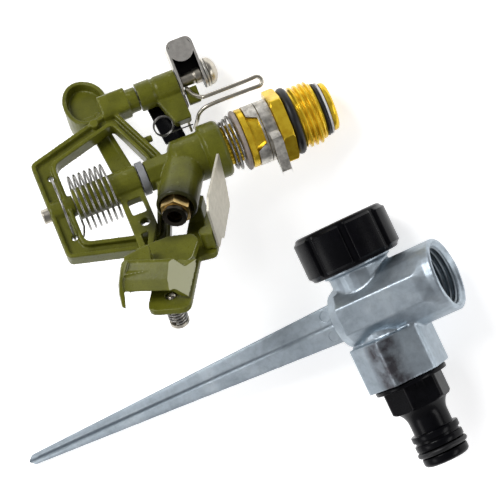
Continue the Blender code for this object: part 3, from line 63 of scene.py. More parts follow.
head_z = Vector(JOINTS["head_turn"]["axis"]).normalized()
head_y = -Vector(JOINTS["deflector_tilt"]["axis"]).normalized()
head_origin = Vector(JOINTS["head_turn"]["pos_m"]) - head_z * HEAD_TURN_HEIGHT * MM
HEAD = local_frame(head_y.cross(head_z), head_y, head_z, head_origin)
spike_x = -Vector(MOUNTS["hose_end"]["axis"]).normalized()
spike_z = Vector((math.cos(SPIKE_TILT), 0.0, math.sin(SPIKE_TILT)))
spike_origin = (Vector(MOUNTS["hose_end"]["pos_m"]) - spike_x * HOSE_END_AT.x * MM
                - spike_z * HOSE_END_AT.z * MM)
SPIKE = local_frame(spike_x, spike_z.cross(spike_x), spike_z, spike_origin)

# ---- sizes that the finer pieces and the looks share with the CAD ----------------
THREAD_R = 10.4
THREAD_DEPTH = 1.1
THREAD_PITCH = 1.81
JET_RISE = math.radians(25.0)
JET_LINE = (math.cos(JET_RISE), 0.0, math.sin(JET_RISE))
JET_ROOT_Z = 50.74
BARREL_LENGTH = 22.0
BARREL_MOUTH = (BARREL_LENGTH * math.cos(JET_RISE), 0.0,
                JET_ROOT_Z + BARREL_LENGTH * math.sin(JET_RISE))
BARREL_END = BARREL_LENGTH + JET_ROOT_Z * math.sin(JET_RISE)     # along the jet's line
BRACKET_TOP_Z = 42.8
BRACKET_H = 9.0
CLIP_REACH = 13.2         # trip pivot to the clip's closed end
CLIP_HALF = 4.4
CLIP_TURN = math.radians(132.0)
TRIP_PIVOT = HEAD.inverted() @ Vector(JOINTS["trip_turn"]["pos_m"])
CLIP = (HEAD @ Matrix.Translation((TRIP_PIVOT.x, TRIP_PIVOT.y, BRACKET_TOP_Z - 0.5 * BRACKET_H))
        @ Matrix.Rotation(CLIP_TURN, 4, "Z"))

# ---- painted shade, painted highlight and tarnish: each pair runs from where a mark starts to where it is full ---
# painted shade at the barrel's end
BARREL_SHADE = (BARREL_END - 7.0, BARREL_END + 0.5)       # along the jet's line
BARREL_SHADE_REACH = (14.0, 9.0)                          # from the barrel's mouth
# painted shade on the nozzle's front rim
NOZZLE_RIM = (BARREL_END + 2.7, BARREL_END + 3.1)         # along the jet's line
# painted highlight on the spoon's faces: its centre, reach and turn, then face directions and
# strengths
SPOON_FACE = (46.6, -1.8, 68.5)
SPOON_REACH = (17.0, 14.0)                                # from the spoon's face
SPOON_TURN = (0.88, 0.96)                                 # cosine to the face's direction
SPOON_SHEEN_FACES = (((0.736, 0.603, -0.309), 0.80),             # face directions and strengths
              ((0.65, 0.74, 0.18), 0.07))
# painted shade inside the clip
CLIP_INSIDE = (0.50, 0.75)                                # in from the clip's faces
BOSS_X = (-9.6, -10.6)                                    # tarnish on the boss
BOSS_FRONT_Y = (10.6, 12.4)
GROOVE_X = (0.85, 0.15)                                   # painted shade in the blade's groove
GROOVE_Y = (0.4, 0.7)
GROOVE_Z = (-14.0, -18.0)
GROOVE_FADE_Z = (-22.0, -90.0)

# ---- colours: a cloudy one is given as stops of a noise, from darker to lighter ------
OLIVE = ((0.32, (0.106, 0.110, 0.010)), (0.60, (0.146, 0.150, 0.014)))
OLIVE_WORN = (0.34, 0.34, 0.13)
# painted shade at the barrel's end
OLIVE_PAINTED_SHADE = (0.012, 0.012, 0.004)
# painted highlight on the spoon's faces
OLIVE_PAINTED_SHEEN = (0.53, 0.53, 0.35)
BRIGHT_BRASS = ((0.32, (0.74, 0.46, 0.022)), (0.60, (0.94, 0.66, 0.045)))
DULL_BRASS = ((0.32, (0.40, 0.27, 0.095)), (0.60, (0.62, 0.45, 0.19)))
# painted shade on the nozzle's front rim
NOZZLE_RIM_SHADE = (0.030, 0.026, 0.020)
CLIP_SHEET = ((0.30, (0.62, 0.59, 0.54)), (0.64, (0.84, 0.81, 0.75)))
# painted shade inside the clip's bend
CLIP_INSIDE_SHADE = (0.020, 0.019, 0.018)
ZINC = ((0.28, (0.37, 0.43, 0.48)), (0.50, (0.46, 0.53, 0.59)), (0.70, (0.54, 0.61, 0.66)))
ZINC_TARNISH = (0.072, 0.066, 0.074)
# painted shade in the blade's groove
ZINC_GROOVE_SHADE = (0.070, 0.090, 0.110)


# ---- materials ------------------------------------------------------------------
class Shader:
    """A Principled surface with small helpers for its node tree."""

    def __init__(self, name, place):
        self.material = bpy.data.materials.new(name)
        self.material.use_nodes = True
        self.tree = self.material.node_tree
        self.surface = self.tree.nodes["Principled BSDF"]
        self.place = self.coordinates(place)
        self.height = None

    def node(self, kind, **values):
        made = self.tree.nodes.new(kind)
        for key, value in values.items():
            setattr(made, key, value)
        return made

    def link(self, a, b):
        self.tree.links.new(a, b)

    def feed(self, socket, value):
        """A socket takes a link, a number or a colour."""
        if isinstance(value, bpy.types.NodeSocket):
            self.link(value, socket)
        else:
            socket.default_value = value if isinstance(value, float) else (*value, 1.0)

    def coordinates(self, place):
        """Object coordinates in millimetres, in the local frame given."""
        mapping = self.node("ShaderNodeMapping")
        spot, turn, size = place.inverted().decompose()
        mapping.inputs["Location"].default_value = spot
        mapping.inputs["Rotation"].default_value = turn.to_euler()
        mapping.inputs["Scale"].default_value = size
        self.link(self.node("ShaderNodeTexCoord").outputs["Object"], mapping.inputs["Vector"])
        return mapping.outputs["Vector"]

    def axes(self):
        """The x, y and z of a point, in millimetres."""
        split = self.node("ShaderNodeSeparateXYZ")
        self.link(self.place, split.inputs[0])
        return [split.outputs[axis] for axis in "XYZ"]

    def stretched(self, stretch):
        mapping = self.node("ShaderNodeMapping")
        mapping.inputs["Scale"].default_value = stretch
        self.link(self.place, mapping.inputs["Vector"])
        return mapping.outputs["Vector"]

    def noise(self, scale, detail=3.0, rough=0.55, stretch=None, distortion=0.0):
        noise = self.node("ShaderNodeTexNoise")
        noise.inputs["Scale"].default_value = scale
        noise.inputs["Detail"].default_value = detail
        noise.inputs["Roughness"].default_value = rough
        noise.inputs["Distortion"].default_value = distortion
        self.link(self.stretched(stretch) if stretch else self.place, noise.inputs["Vector"])
        return noise.outputs["Fac"]

    def ramp(self, value, *stops):
        ramp = self.node("ShaderNodeValToRGB")
        while len(ramp.color_ramp.elements) < len(stops):
            ramp.color_ramp.elements.new(0.5)
        for element, (spot, colour) in zip(ramp.color_ramp.elements, stops):
            element.position = spot
            element.color = (*colour, 1.0) if isinstance(colour, tuple) else (colour,) * 3 + (1.0,)
        self.link(value, ramp.inputs["Fac"])
        return ramp.outputs["Color"]

    def mix(self, factor, first, second, mode="MIX"):
        mix = self.node("ShaderNodeMix", data_type="RGBA", blend_type=mode)
        for socket, value in (("Factor", factor), ("A", first), ("B", second)):
            self.feed(mix.inputs[socket], value)
        return mix.outputs["Result"]

    def math(self, operation, first, second=0.0):
        made = self.node("ShaderNodeMath", operation=operation)
        self.feed(made.inputs[0], first)
        self.feed(made.inputs[1], second)
        return made.outputs["Value"]

    def product(self, *values):
        result = values[0]
        for value in values[1:]:
            result = self.math("MULTIPLY", result, value)
        return result

    def against(self, operation, value, vector):
        """The distance or dot product of a socket's vector and a fixed one."""
        made = self.node("ShaderNodeVectorMath", operation=operation)
        self.link(value, made.inputs[0])
        made.inputs[1].default_value = vector
        return made.outputs["Value"]

    def spread(self, value, low, high):
        """A value of 0..1 taken to low..high."""
        made = self.node("ShaderNodeMapRange")
        made.inputs["To Min"].default_value = low
        made.inputs["To Max"].default_value = high
        self.link(value, made.inputs["Value"])
        return made.outputs["Result"]

    def within(self, value, start, end):
        """A value taken from start..end to 0..1, and held at both ends."""
        made = self.node("ShaderNodeMapRange")
        made.inputs["From Min"].default_value = start
        made.inputs["From Max"].default_value = end
        self.link(value, made.inputs["Value"])
        return made.outputs["Result"]

    def edges(self, low, high):
        """1 on worn convex edges, 0 elsewhere."""
        point = self.node("ShaderNodeNewGeometry").outputs["Pointiness"]
        return self.ramp(point, (low, 0.0), (high, 1.0))

    def bump(self, value, distance, strength=1.0):
        made = self.node("ShaderNodeBump")
        made.inputs["Distance"].default_value = distance * MM
        made.inputs["Strength"].default_value = strength
        self.link(value, made.inputs["Height"])
        if self.height is not None:
            self.link(self.height, made.inputs["Normal"])
        self.height = made.outputs["Normal"]
        self.link(self.height, self.surface.inputs["Normal"])

    def finish(self, colour, rough, **plain):
        self.feed(self.surface.inputs["Base Color"], colour)
        self.feed(self.surface.inputs["Roughness"], rough)
        for key, value in plain.items():
            self.surface.inputs[key.replace("_", " ")].default_value = value
        return self.material


def enamel(name, sheen_faces=()):
    """Olive enamel sprayed over a die casting, with painted shade at the barrel's mouth and a pale
    painted highlight on faces of the spoon that face given directions.
    """
    s = Shader(name, HEAD)
    colour = s.ramp(s.noise(0.16, 4.0, 0.6), *OLIVE)
    colour = s.mix(1.0, colour, s.ramp(s.noise(2.4, 2.0), (0.36, 0.86), (0.60, 1.0)), "MULTIPLY")
    colour = s.mix(s.product(s.edges(0.53, 0.60), 0.30), colour, OLIVE_WORN)
    # painted shade on the barrel, darker towards its mouth
    shade_run = s.math("ADD", s.against("DOT_PRODUCT", s.place, JET_LINE),
                   s.product(s.noise(0.30, 3.0), 3.0))
    barrel_shade = s.ramp(s.within(shade_run, *BARREL_SHADE), (0.0, 0.0), (0.6, 0.45), (1.0, 0.88))
    near = s.within(s.against("DISTANCE", s.place, BARREL_MOUTH), *BARREL_SHADE_REACH)
    colour = s.mix(s.product(barrel_shade, near), colour, OLIVE_PAINTED_SHADE)
    # painted highlight on the spoon's faces that face each given direction
    for direction, strength in sheen_faces:
        facing = s.against("DOT_PRODUCT", s.node("ShaderNodeTexCoord").outputs["Normal"],
                           (HEAD.to_3x3() @ Vector(direction)).normalized())
        close = s.within(s.against("DISTANCE", s.place, SPOON_FACE), *SPOON_REACH)
        sheen = s.product(s.within(facing, *SPOON_TURN), close, strength)
        colour = s.mix(sheen, colour, OLIVE_PAINTED_SHEEN)
    s.bump(s.noise(0.9, 2.0, 0.4), 0.05, 0.7)
    s.bump(s.noise(5.0, 2.0), 0.012, 0.6)
    return s.finish(colour, s.spread(s.noise(0.7, 3.0), 0.22, 0.38), Metallic=0.0,
                    Specular_IOR_Level=0.20, Coat_Weight=0.06, Coat_Roughness=0.20)


def turned(s):
    """Fine tool marks round the head's axis."""
    s.bump(s.noise(2.2, 3.0, 0.6, (0.15, 0.15, 4.0)), 0.005, 0.5)


def brass():
    """Bright turned brass."""
    s = Shader("turned_brass", HEAD)
    turned(s)
    return s.finish(s.ramp(s.noise(0.5, 4.0, 0.6), *BRIGHT_BRASS),
                    s.spread(s.noise(1.6, 3.0), 0.14, 0.27), Metallic=0.62,
                    Specular_IOR_Level=0.2)


def nozzle_brass():
    """Dull brass, with painted shade darkening its front rim."""
    s = Shader("nozzle_brass", HEAD)
    rim = s.within(s.against("DOT_PRODUCT", s.place, JET_LINE), *NOZZLE_RIM)
    colour = s.mix(rim, s.ramp(s.noise(0.5, 4.0, 0.6), *DULL_BRASS), NOZZLE_RIM_SHADE)
    turned(s)
    return s.finish(colour, s.spread(s.noise(1.6, 3.0), 0.24, 0.38), Metallic=1.0)


def steel(name, light, dark, rough, stretch=(1.0, 1.0, 6.0), drawn=0.010):
    """Stainless steel, with fine lines of a depth in millimetres from drawing or rolling."""
    s = Shader(name, HEAD)
    colour = s.ramp(s.noise(0.45, 4.0, 0.6), (0.30, dark), (0.64, light))
    s.bump(s.noise(0.8, 3.0, 0.6, stretch), drawn, 0.35)
    return s.finish(colour, s.spread(s.noise(1.3, 3.0), *rough), Metallic=1.0)


def wire(name, light, dark, rough):
    """Spring wire, nearly without lines."""
    return steel(name, light, dark, rough, stretch=(1.0, 1.0, 1.0), drawn=0.002)


def clip_steel():
    """Pressed sheet, with painted shade inside the clip's bend."""
    s = Shader("clip_stainless", CLIP)
    along, across, up = s.axes()
    start, end = CLIP_INSIDE
    inside_shade = s.product(s.within(along, CLIP_REACH - start, CLIP_REACH - end),
                    *[s.within(s.math("ABSOLUTE", value), half - start, half - end)
                      for value, half in ((across, CLIP_HALF), (up, 0.5 * BRACKET_H))])
    colour = s.mix(inside_shade, s.ramp(s.noise(0.45, 4.0, 0.6), *CLIP_SHEET), CLIP_INSIDE_SHADE)
    s.bump(s.noise(0.8, 3.0, 0.6, (1.0, 1.0, 6.0)), 0.010, 0.35)
    return s.finish(colour, s.spread(s.noise(1.3, 3.0), 0.30, 0.44), Metallic=1.0)


def zinc(name, shade):
    """Blue-white zinc plating over a casting, with the cloudy patches it gets."""
    s = Shader(name, SPIKE)
    x, y, z = s.axes()
    shaded = [(spot, tuple(shade * level for level in tint)) for spot, tint in ZINC]
    colour = s.ramp(s.noise(0.085, 5.0, 0.62, distortion=0.6), *shaded)
    stain = s.ramp(s.noise(0.5, 4.0, 0.7), (0.34, 0.86), (0.58, 1.0))
    colour = s.mix(1.0, colour, stain, "MULTIPLY")
    patch = s.ramp(s.noise(0.22, 4.0, 0.6), (0.36, 0.45), (0.60, 1.0))
    tarnish = s.product(s.within(x, *BOSS_X), s.within(y, *BOSS_FRONT_Y), patch, 0.96)
    colour = s.mix(tarnish, colour, ZINC_TARNISH)
    # painted shade in the blade's groove, stronger towards the tip
    fade = s.spread(s.within(z, *GROOVE_FADE_Z), 0.35, 0.85)
    groove_shade = s.product(s.within(s.math("ABSOLUTE", x), *GROOVE_X), s.within(y, *GROOVE_Y),
                     s.within(z, *GROOVE_Z), fade)
    colour = s.mix(groove_shade, colour, ZINC_GROOVE_SHADE)
    s.bump(s.noise(0.35, 3.0, 0.5), 0.10, 0.5)
    s.bump(s.noise(2.6, 3.0), 0.02, 0.6)
    return s.finish(colour, s.spread(s.noise(0.4, 4.0, 0.6), 0.32, 0.52), Metallic=1.0)


def moulded(name, dark, light, rough, place=HEAD, gloss=0.35):
    """Plastic or rubber from a mould."""
    s = Shader(name, place)
    tone = s.ramp(s.noise(0.35, 4.0, 0.6), (0.32, dark), (0.66, light))
    s.bump(s.noise(1.8, 3.0, 0.6), 0.008, 0.5)
    return s.finish(tone, s.spread(s.noise(0.8, 3.0), *rough), Metallic=0.0,
                    Specular_IOR_Level=gloss)


# one look for each material slot of the CAD part
LOOKS = {
    "olive_paint": enamel("olive_enamel"),
    "brass": brass(),
    "stainless_sheet": steel("pressed_stainless", (0.80, 0.77, 0.70), (0.34, 0.325, 0.29),
                             (0.28, 0.46)),
    "stainless_rod": steel("drawn_stainless", (0.56, 0.52, 0.44), (0.42, 0.39, 0.33),
                           (0.24, 0.38)),
    "spring_steel": wire("spring_wire", (0.34, 0.33, 0.31), (0.20, 0.195, 0.185), (0.22, 0.34)),
    "zinc_plate": zinc("zinc_casting", 0.88),
    "black_plastic": moulded("black_plastic", (0.0016, 0.0016, 0.0024),
                             (0.0032, 0.0032, 0.0044), (0.18, 0.30), SPIKE, gloss=0.11),
    "black_rubber": moulded("black_rubber", (0.0055, 0.0055, 0.0065), (0.012, 0.012, 0.013),
                            (0.34, 0.50)),
    "grey_nylon": moulded("grey_nylon", (0.22, 0.225, 0.235), (0.31, 0.315, 0.33),
                          (0.38, 0.52)),
    "white_nylon": moulded("white_nylon", (0.66, 0.65, 0.63), (0.80, 0.79, 0.77), (0.35, 0.5)),
}
# looks of single pieces that differ from the rest of their slot
OWN_LOOKS = {
    "stem_washer": moulded("warm_nylon", (0.28, 0.235, 0.205), (0.40, 0.34, 0.30), (0.38, 0.52)),
    "nozzle": nozzle_brass(),
    # the arm's enamel carries the spoon's painted highlight
    "arm": enamel("arm_enamel", SPOON_SHEEN_FACES),
    "trip_bracket": clip_steel(),
    "deflector_plate": steel("satin_stainless", (0.60, 0.57, 0.49), (0.50, 0.475, 0.40),
                             (0.44, 0.58)),
}
# a darker copy of the zinc: painted shade inside the socket's thread
SHADED_BORE_ZINC = zinc("zinc_bore_painted_shade", 0.46)
DARK_WIRE = wire("dark_wire", (0.17, 0.165, 0.155), (0.09, 0.087, 0.082), (0.26, 0.38))

for sub in RECORD["subparts"]:
    materials = NODES[sub["node"]].data.materials
    materials.clear()
    materials.append(OWN_LOOKS.get(sub["node"], LOOKS[sub["material_slot"]]))


# ---- finer surfaces on the CAD solids --------------------------------------------
WELD_GAP = 0.000002
CAST_ROUNDS = 3
CASTINGS = {"sprinkler_body": 0.30, "arm": 0.28, "trip_lever": 0.26, "trip_block": 0.26,
            "deflector_lever": 0.26, "spike_body": 0.36}      # with the size of their voxels
EASED_WIDTH = 0.12
EASED_ANGLE = math.radians(32.0)
EASED = ("nozzle", "lever_bar", "trip_bracket", "deflector_plate", "trip_collar_lower",
         "trip_collar_upper", "pivot_screw", "pivot_washer", "pivot_spacer", "arm_pin",
         "diffuser_screw", "stem_washer", "arm_washer", "thrust_washer", "thrust_seal",
         "end_cap_washer")


def modifier(piece, kind, **values):
    made = piece.modifiers.new(kind.lower(), kind)
    for key, value in values.items():
        setattr(made, key, value)
    return made


def cast(piece, voxel):
    """A casting: its edges melt into small radii and fillets."""
    modifier(piece, "WELD", merge_threshold=WELD_GAP)
    modifier(piece, "REMESH", mode="VOXEL", voxel_size=voxel * MM, use_smooth_shade=True)
    modifier(piece, "SMOOTH", factor=0.5, iterations=CAST_ROUNDS)


def ease_edges(piece):
    """A turned or pressed piece: its edges get a fine round."""
    modifier(piece, "WELD", merge_threshold=WELD_GAP)
    modifier(piece, "BEVEL", width=EASED_WIDTH * MM, segments=2, limit_method="ANGLE",
             angle_limit=EASED_ANGLE, use_clamp_overlap=True, harden_normals=False)
    for face in piece.data.polygons:
        face.use_smooth = True
    modifier(piece, "WEIGHTED_NORMAL", keep_sharp=False, weight=50)


for node, voxel in CASTINGS.items():
    cast(NODES[node], voxel)
for node in EASED:
    ease_edges(NODES[node])


# ---- finer pieces, most of which stand for CAD nodes ---------------------------------
def piece(name, shape, place, look, body, slot, *nodes, sharp=30.0):
    """A smooth mesh, given in a local frame, that rides a body and may stand for some nodes."""
    verts, faces = shape
    mesh = bpy.data.meshes.new(name)
    mesh.from_pydata([place @ Vector(v) for v in verts], [], faces)
    work = bmesh.new()
    work.from_mesh(mesh)
    bmesh.ops.remove_doubles(work, verts=work.verts, dist=1e-7)
    bmesh.ops.recalc_face_normals(work, faces=work.faces)
    work.to_mesh(mesh)
    work.free()
    for face in mesh.polygons:
        face.use_smooth = True
    mesh.set_sharp_from_angle(angle=math.radians(sharp))
    mesh.materials.append(look)
    made = bpy.data.objects.new(name, mesh)
    bpy.context.scene.collection.objects.link(made)
    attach(made, body)
    if nodes:
        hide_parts(*nodes)


def lathe(profile, sides, warp=None, start=0.0):
    """A turned ring: a closed outline of (radius, height) taken round the z axis."""
    rows = len(profile)
    verts, faces = [], []
    for k in range(sides):
        a = start + TAU * k / sides
        for r, z in profile:
            if warp:
                r, z = warp(a, r, z)
            verts.append((r * math.cos(a), r * math.sin(a), z))
    for k in range(sides):
        here, there = k * rows, ((k + 1) % sides) * rows
        for i in range(rows):
            j = (i + 1) % rows
            faces.append((here + i, there + i, there + j, here + j))
    return verts, faces


def smoothstep(low, high, value):
    t = min(1.0, max(0.0, (value - low) / (high - low)))
    return t * t * (3.0 - 2.0 * t)


def sweep(points, radius, sides=12, closed=False):
    """A round wire along a line of points, with rounded ends where it isn't closed."""
    points = [Vector(p) for p in points]
    count = len(points)
    tangents = []
    for i in range(count):
        before = points[i - 1] if closed or i else points[0]
        after = points[(i + 1) % count] if closed or i < count - 1 else points[-1]
        tangents.append((after - before).normalized())
    across = tangents[0].orthogonal().normalized()
    rings = []
    for i in range(count):
        across = (across - tangents[i] * across.dot(tangents[i])).normalized()
        rings.append((points[i], across.copy(), tangents[i].cross(across), radius))
    if not closed:
        for end, sign in ((0, -1.0), (-1, 1.0)):
            at, u, v, _ = rings[end]
            for turn in (0.45, 0.8):
                a = 0.5 * math.pi * turn
                cap = (at + tangents[end] * sign * radius * math.sin(a), u, v,
                       radius * math.cos(a))
                rings.insert(0, cap) if end == 0 else rings.append(cap)
    verts = [tuple(at + (u * math.cos(TAU * k / sides) + v * math.sin(TAU * k / sides)) * r)
             for at, u, v, r in rings for k in range(sides)]
    total = len(rings)
    faces = []
    for i in range(total if closed else total - 1):
        j = (i + 1) % total
        for k in range(sides):
            m = (k + 1) % sides
            faces.append((i * sides + k, i * sides + m, j * sides + m, j * sides + k))
    if not closed:
        faces.append(tuple(range(sides)))
        faces.append(tuple((total - 1) * sides + k for k in range(sides)))
    return verts, faces


def helix(turns, low, high, radius, top_radius=None, per_turn=40, start=0.0):
    """A line that climbs round the z axis, and may narrow on its way."""
    top_radius = radius if top_radius is None else top_radius
    count = int(turns * per_turn)
    line = []
    for i in range(count + 1):
        t = i / count
        a = start + TAU * turns * t
        r = radius + (top_radius - radius) * t
        line.append(Vector((r * math.cos(a), r * math.sin(a), low + (high - low) * t)))
    return line


def eased(points, count):
    """A smooth line through a few points, by Catmull-Rom."""
    line = []
    ends = [points[0]] + list(points) + [points[-1]]
    for i in range(1, len(ends) - 2):
        p0, p1, p2, p3 = (Vector(p) for p in ends[i - 1:i + 3])
        for k in range(count):
            t = k / count
            line.append(0.5 * (2 * p1 + (p2 - p0) * t + (2 * p0 - 5 * p1 + 4 * p2 - p3) * t * t
                               + (3 * p1 - p0 - 3 * p2 + p3) * t ** 3))
    line.append(Vector(points[-1]))
    return line


def circle(radius, height, count=72):
    return [Vector((radius * math.cos(TAU * i / count), radius * math.sin(TAU * i / count),
                    height)) for i in range(count)]


FRONT_TURN = math.radians(39.4)


def front_side(right, near, height):
    """A point given across and towards the front-left of the head, as in the CAD."""
    c, s = math.cos(FRONT_TURN), math.sin(FRONT_TURN)
    return Vector((near * c - right * s, near * s + right * c, height))


def hexagon(a, flat, turn, corner):
    """Radius of a hexagon's outline at an angle, with its corners turned down a little."""
    swing = (a - turn) % (TAU / 6.0) - TAU / 12.0
    return min(flat / math.cos(swing), flat / math.cos(TAU / 12.0) - corner)


def screw_thread(low, high, root, depth, core, fade, sides=180, rows=22):
    """A closed sleeve with a thread whose rows of faces run along the helix."""
    total = rows + math.ceil((high - low) / THREAD_PITCH * rows)
    verts, faces = [], []
    for k in range(sides):
        a = TAU * k / sides
        for i in range(total + 1):
            z = min(high, max(low, low + THREAD_PITCH * (i / rows - 1.0 + k / sides)))
            run = smoothstep(0.10, 0.80, abs(2.0 * (i / rows % 1.0) - 1.0))
            run *= smoothstep(low, low + fade, z) * smoothstep(high, high - fade, z)
            r = root + depth * run
            verts.append((r * math.cos(a), r * math.sin(a), z))
        verts += [(core * math.cos(a), core * math.sin(a), z) for z in (low, high)]
    for k in range(sides):
        here, there = k * (total + 3), (k + 1) % sides * (total + 3)
        for i in range(total):
            ahead = i if k < sides - 1 else min(i + rows, total)
            beyond = min(ahead + 1, total)
            face = (here + i, there + ahead, there + beyond, here + i + 1)
            faces.append(face if ahead < beyond else face[:2] + face[3:])
        faces.append((here, here + total + 1, there + total + 1, there))
        faces.append((here + total, there + total, there + total + 2, here + total + 2))
        faces.append((here + total + 1, here + total + 2, there + total + 2, there + total + 1))
    return verts, faces


# inlet nipple: flange, neck, hexagon, O-ring seat and the thread's core, with the thread itself
# as a sleeve round that core
NIPPLE_TOP = 30.74
NIPPLE_BORE_R = 5.8
FLANGE_R = 9.9
NECK_R = 8.5                          # the friction rings sit here
HEX_R = 10.7                          # of the outline's rows that become the hexagon
HEX_LOW, HEX_HIGH = 15.94, 19.94
HEX_FLAT = 10.8
HEX_TURN = math.radians(18.5)
HEX_CHAMFER_R = HEX_FLAT + 0.85       # of the chamfer where it meets the hexagon's end
HEX_CHAMFER_SLOPE = 1.75
SEAT_R = 8.0                          # under the O-ring
THREAD_LOW, THREAD_HIGH = 5.40, 12.64
THREAD_ROOT = THREAD_R - THREAD_DEPTH
CORE_R = THREAD_ROOT - 0.02           # just under the thread's root
FOOT_Z = 4.8


def nipple_warp(a, r, z):
    if r == HEX_R:
        rise = min(z - HEX_LOW, HEX_HIGH - z)
        return min(hexagon(a, HEX_FLAT, HEX_TURN, 0.10),
                   HEX_CHAMFER_R + HEX_CHAMFER_SLOPE * rise), z
    return r, z


nipple_line = [(9.6, NIPPLE_TOP), (FLANGE_R, 30.44), (FLANGE_R, 28.84), (9.7, 28.64),
               (NECK_R, 28.54), (NECK_R, 20.0)]
nipple_line += [(HEX_R, z) for z in (HEX_HIGH, 19.8, 19.6, 19.4, 19.0, 18.0, 17.0, 16.6, 16.4,
                                     16.2, 16.08, HEX_LOW)]
nipple_line += [(SEAT_R, 15.9), (SEAT_R, 12.74), (CORE_R, THREAD_HIGH), (CORE_R, 5.0),
                (9.0, FOOT_Z), (NIPPLE_BORE_R, FOOT_Z), (NIPPLE_BORE_R, NIPPLE_TOP)]
piece("nipple_turning", lathe(nipple_line, 180, nipple_warp, HEX_TURN), HEAD, LOOKS["brass"],
      "inlet", "brass", "inlet_nipple", sharp=42.0)
piece("nipple_thread", screw_thread(THREAD_LOW, THREAD_HIGH, THREAD_ROOT, THREAD_DEPTH,
                                    core=8.6, fade=0.9),
      HEAD, LOOKS["brass"], "inlet", "brass", sharp=60.0)

# bearing tube: a fluted sleeve over a plain tube with a rolled flare
SLEEVE_R = 6.4
SLEEVE_TOP, SLEEVE_LOW = 43.5, 32.9
TUBE_R = 5.5
TUBE_BORE_R = 4.2
FLUTES = 24
FLUTE_DEPTH = 0.42


def flute_warp(a, r, z):
    if r == SLEEVE_R:
        return r - FLUTE_DEPTH * (0.5 + 0.5 * math.cos(FLUTES * a)) ** 1.5, z
    return r, z


tube_line = [(SLEEVE_R, z) for z in (SLEEVE_TOP, 40.0, 36.0, SLEEVE_LOW)]
tube_line += [(6.1, 32.66), (TUBE_R, 32.64), (TUBE_R, 2.3), (7.8, 2.2), (8.05, 2.0), (8.1, 1.7),
              (8.1, 1.1), (7.95, 0.7), (7.6, 0.35), (7.1, 0.12), (6.6, 0.02), (5.2, 0.02),
              (4.5, 0.2), (TUBE_BORE_R, 0.6), (TUBE_BORE_R, SLEEVE_TOP)]
piece("fluted_tube", lathe(tube_line, 192, flute_warp), HEAD, LOOKS["brass"], "head", "brass",
      "bearing_tube", sharp=40.0)

# O-rings
HOSE = SPIKE @ Matrix.Rotation(0.5 * math.pi, 4, "Y")      # its z runs along the hose line
piece("nipple_o_ring", sweep(circle(9.8, 14.29), 1.5, sides=20, closed=True), HEAD,
      LOOKS["black_rubber"], "inlet", "black_rubber", "inlet_o_ring")
piece("hose_o_ring", sweep(circle(7.7, -50.15), 0.9, sides=16, closed=True), HOSE,
      LOOKS["black_rubber"], "spike", "black_rubber", "connector_o_ring")

# springs and the trip wire, each with the radius of its wire
STEM_WIRE_R = 0.42
ARM_WIRE_R = 0.38
TRIP_WIRE_R = 0.66
TRIP_SPRING_WIRE_R = 0.23
DIFFUSER_WIRE_R = 0.36
SPRING = LOOKS["spring_steel"]
piece("stem_coil", sweep(helix(turns=2.6, low=33.06, high=36.62, radius=9.08, top_radius=7.62),
                         STEM_WIRE_R),
      HEAD, SPRING, "inlet", "spring_steel", "stem_spring")

BRIDGE_TURN = math.radians(-25.6)
BRIDGE_BEAM_Z = 90.4
BEAM_HOLE = 11.3                      # from the head's axis, along the beam
ARM_COIL_TURNS = 7.0
ARM_COIL_R = 9.1
ARM_COIL_LOW, ARM_COIL_HIGH = 75.94, BRIDGE_BEAM_Z - 1.8


def threaded_bend():
    """The arm spring's last half turn, through the two holes of the bridge's beam."""
    height = BRIDGE_BEAM_Z + 2.6
    bend = [(8.02, -6.7, ARM_COIL_HIGH + 1.2), (10.5, -4.7, ARM_COIL_HIGH + 3.2),
            (BEAM_HOLE, -2.6, height), (BEAM_HOLE, 0.0, height), (BEAM_HOLE, 2.6, height)]
    bend += [(1.12 * ARM_COIL_R * math.cos(a), 2.6 + 0.78 * ARM_COIL_R * math.sin(a), height)
             for a in [math.radians(25.0 * i) for i in range(1, 7)]]
    bend += [(-BEAM_HOLE, 2.6, height), (-BEAM_HOLE, -0.6, height)]
    c, s = math.cos(BRIDGE_TURN), math.sin(BRIDGE_TURN)
    return [Vector((x * c - y * s, x * s + y * c, z)) for x, y, z in bend]


arm_coil = helix(ARM_COIL_TURNS, ARM_COIL_LOW, ARM_COIL_HIGH, ARM_COIL_R, per_turn=44,
                 start=BRIDGE_TURN - math.radians(60.0))
arm_coil = arm_coil[:-1] + eased([arm_coil[-1]] + threaded_bend(), 6)
piece("arm_coil", sweep(arm_coil, ARM_WIRE_R), HEAD, SPRING, "head", "spring_steel", "arm_spring")

WIRE_LEFT, WIRE_RIGHT = 14.3, 17.3    # the two sides of the wire's loop
WIRE_NEAR = 0.5
WIRE_TOP_Z = BRACKET_TOP_Z - 1.7
WIRE_FOOT_Z = 19.94
WIRE_FOOT_R = 1.62


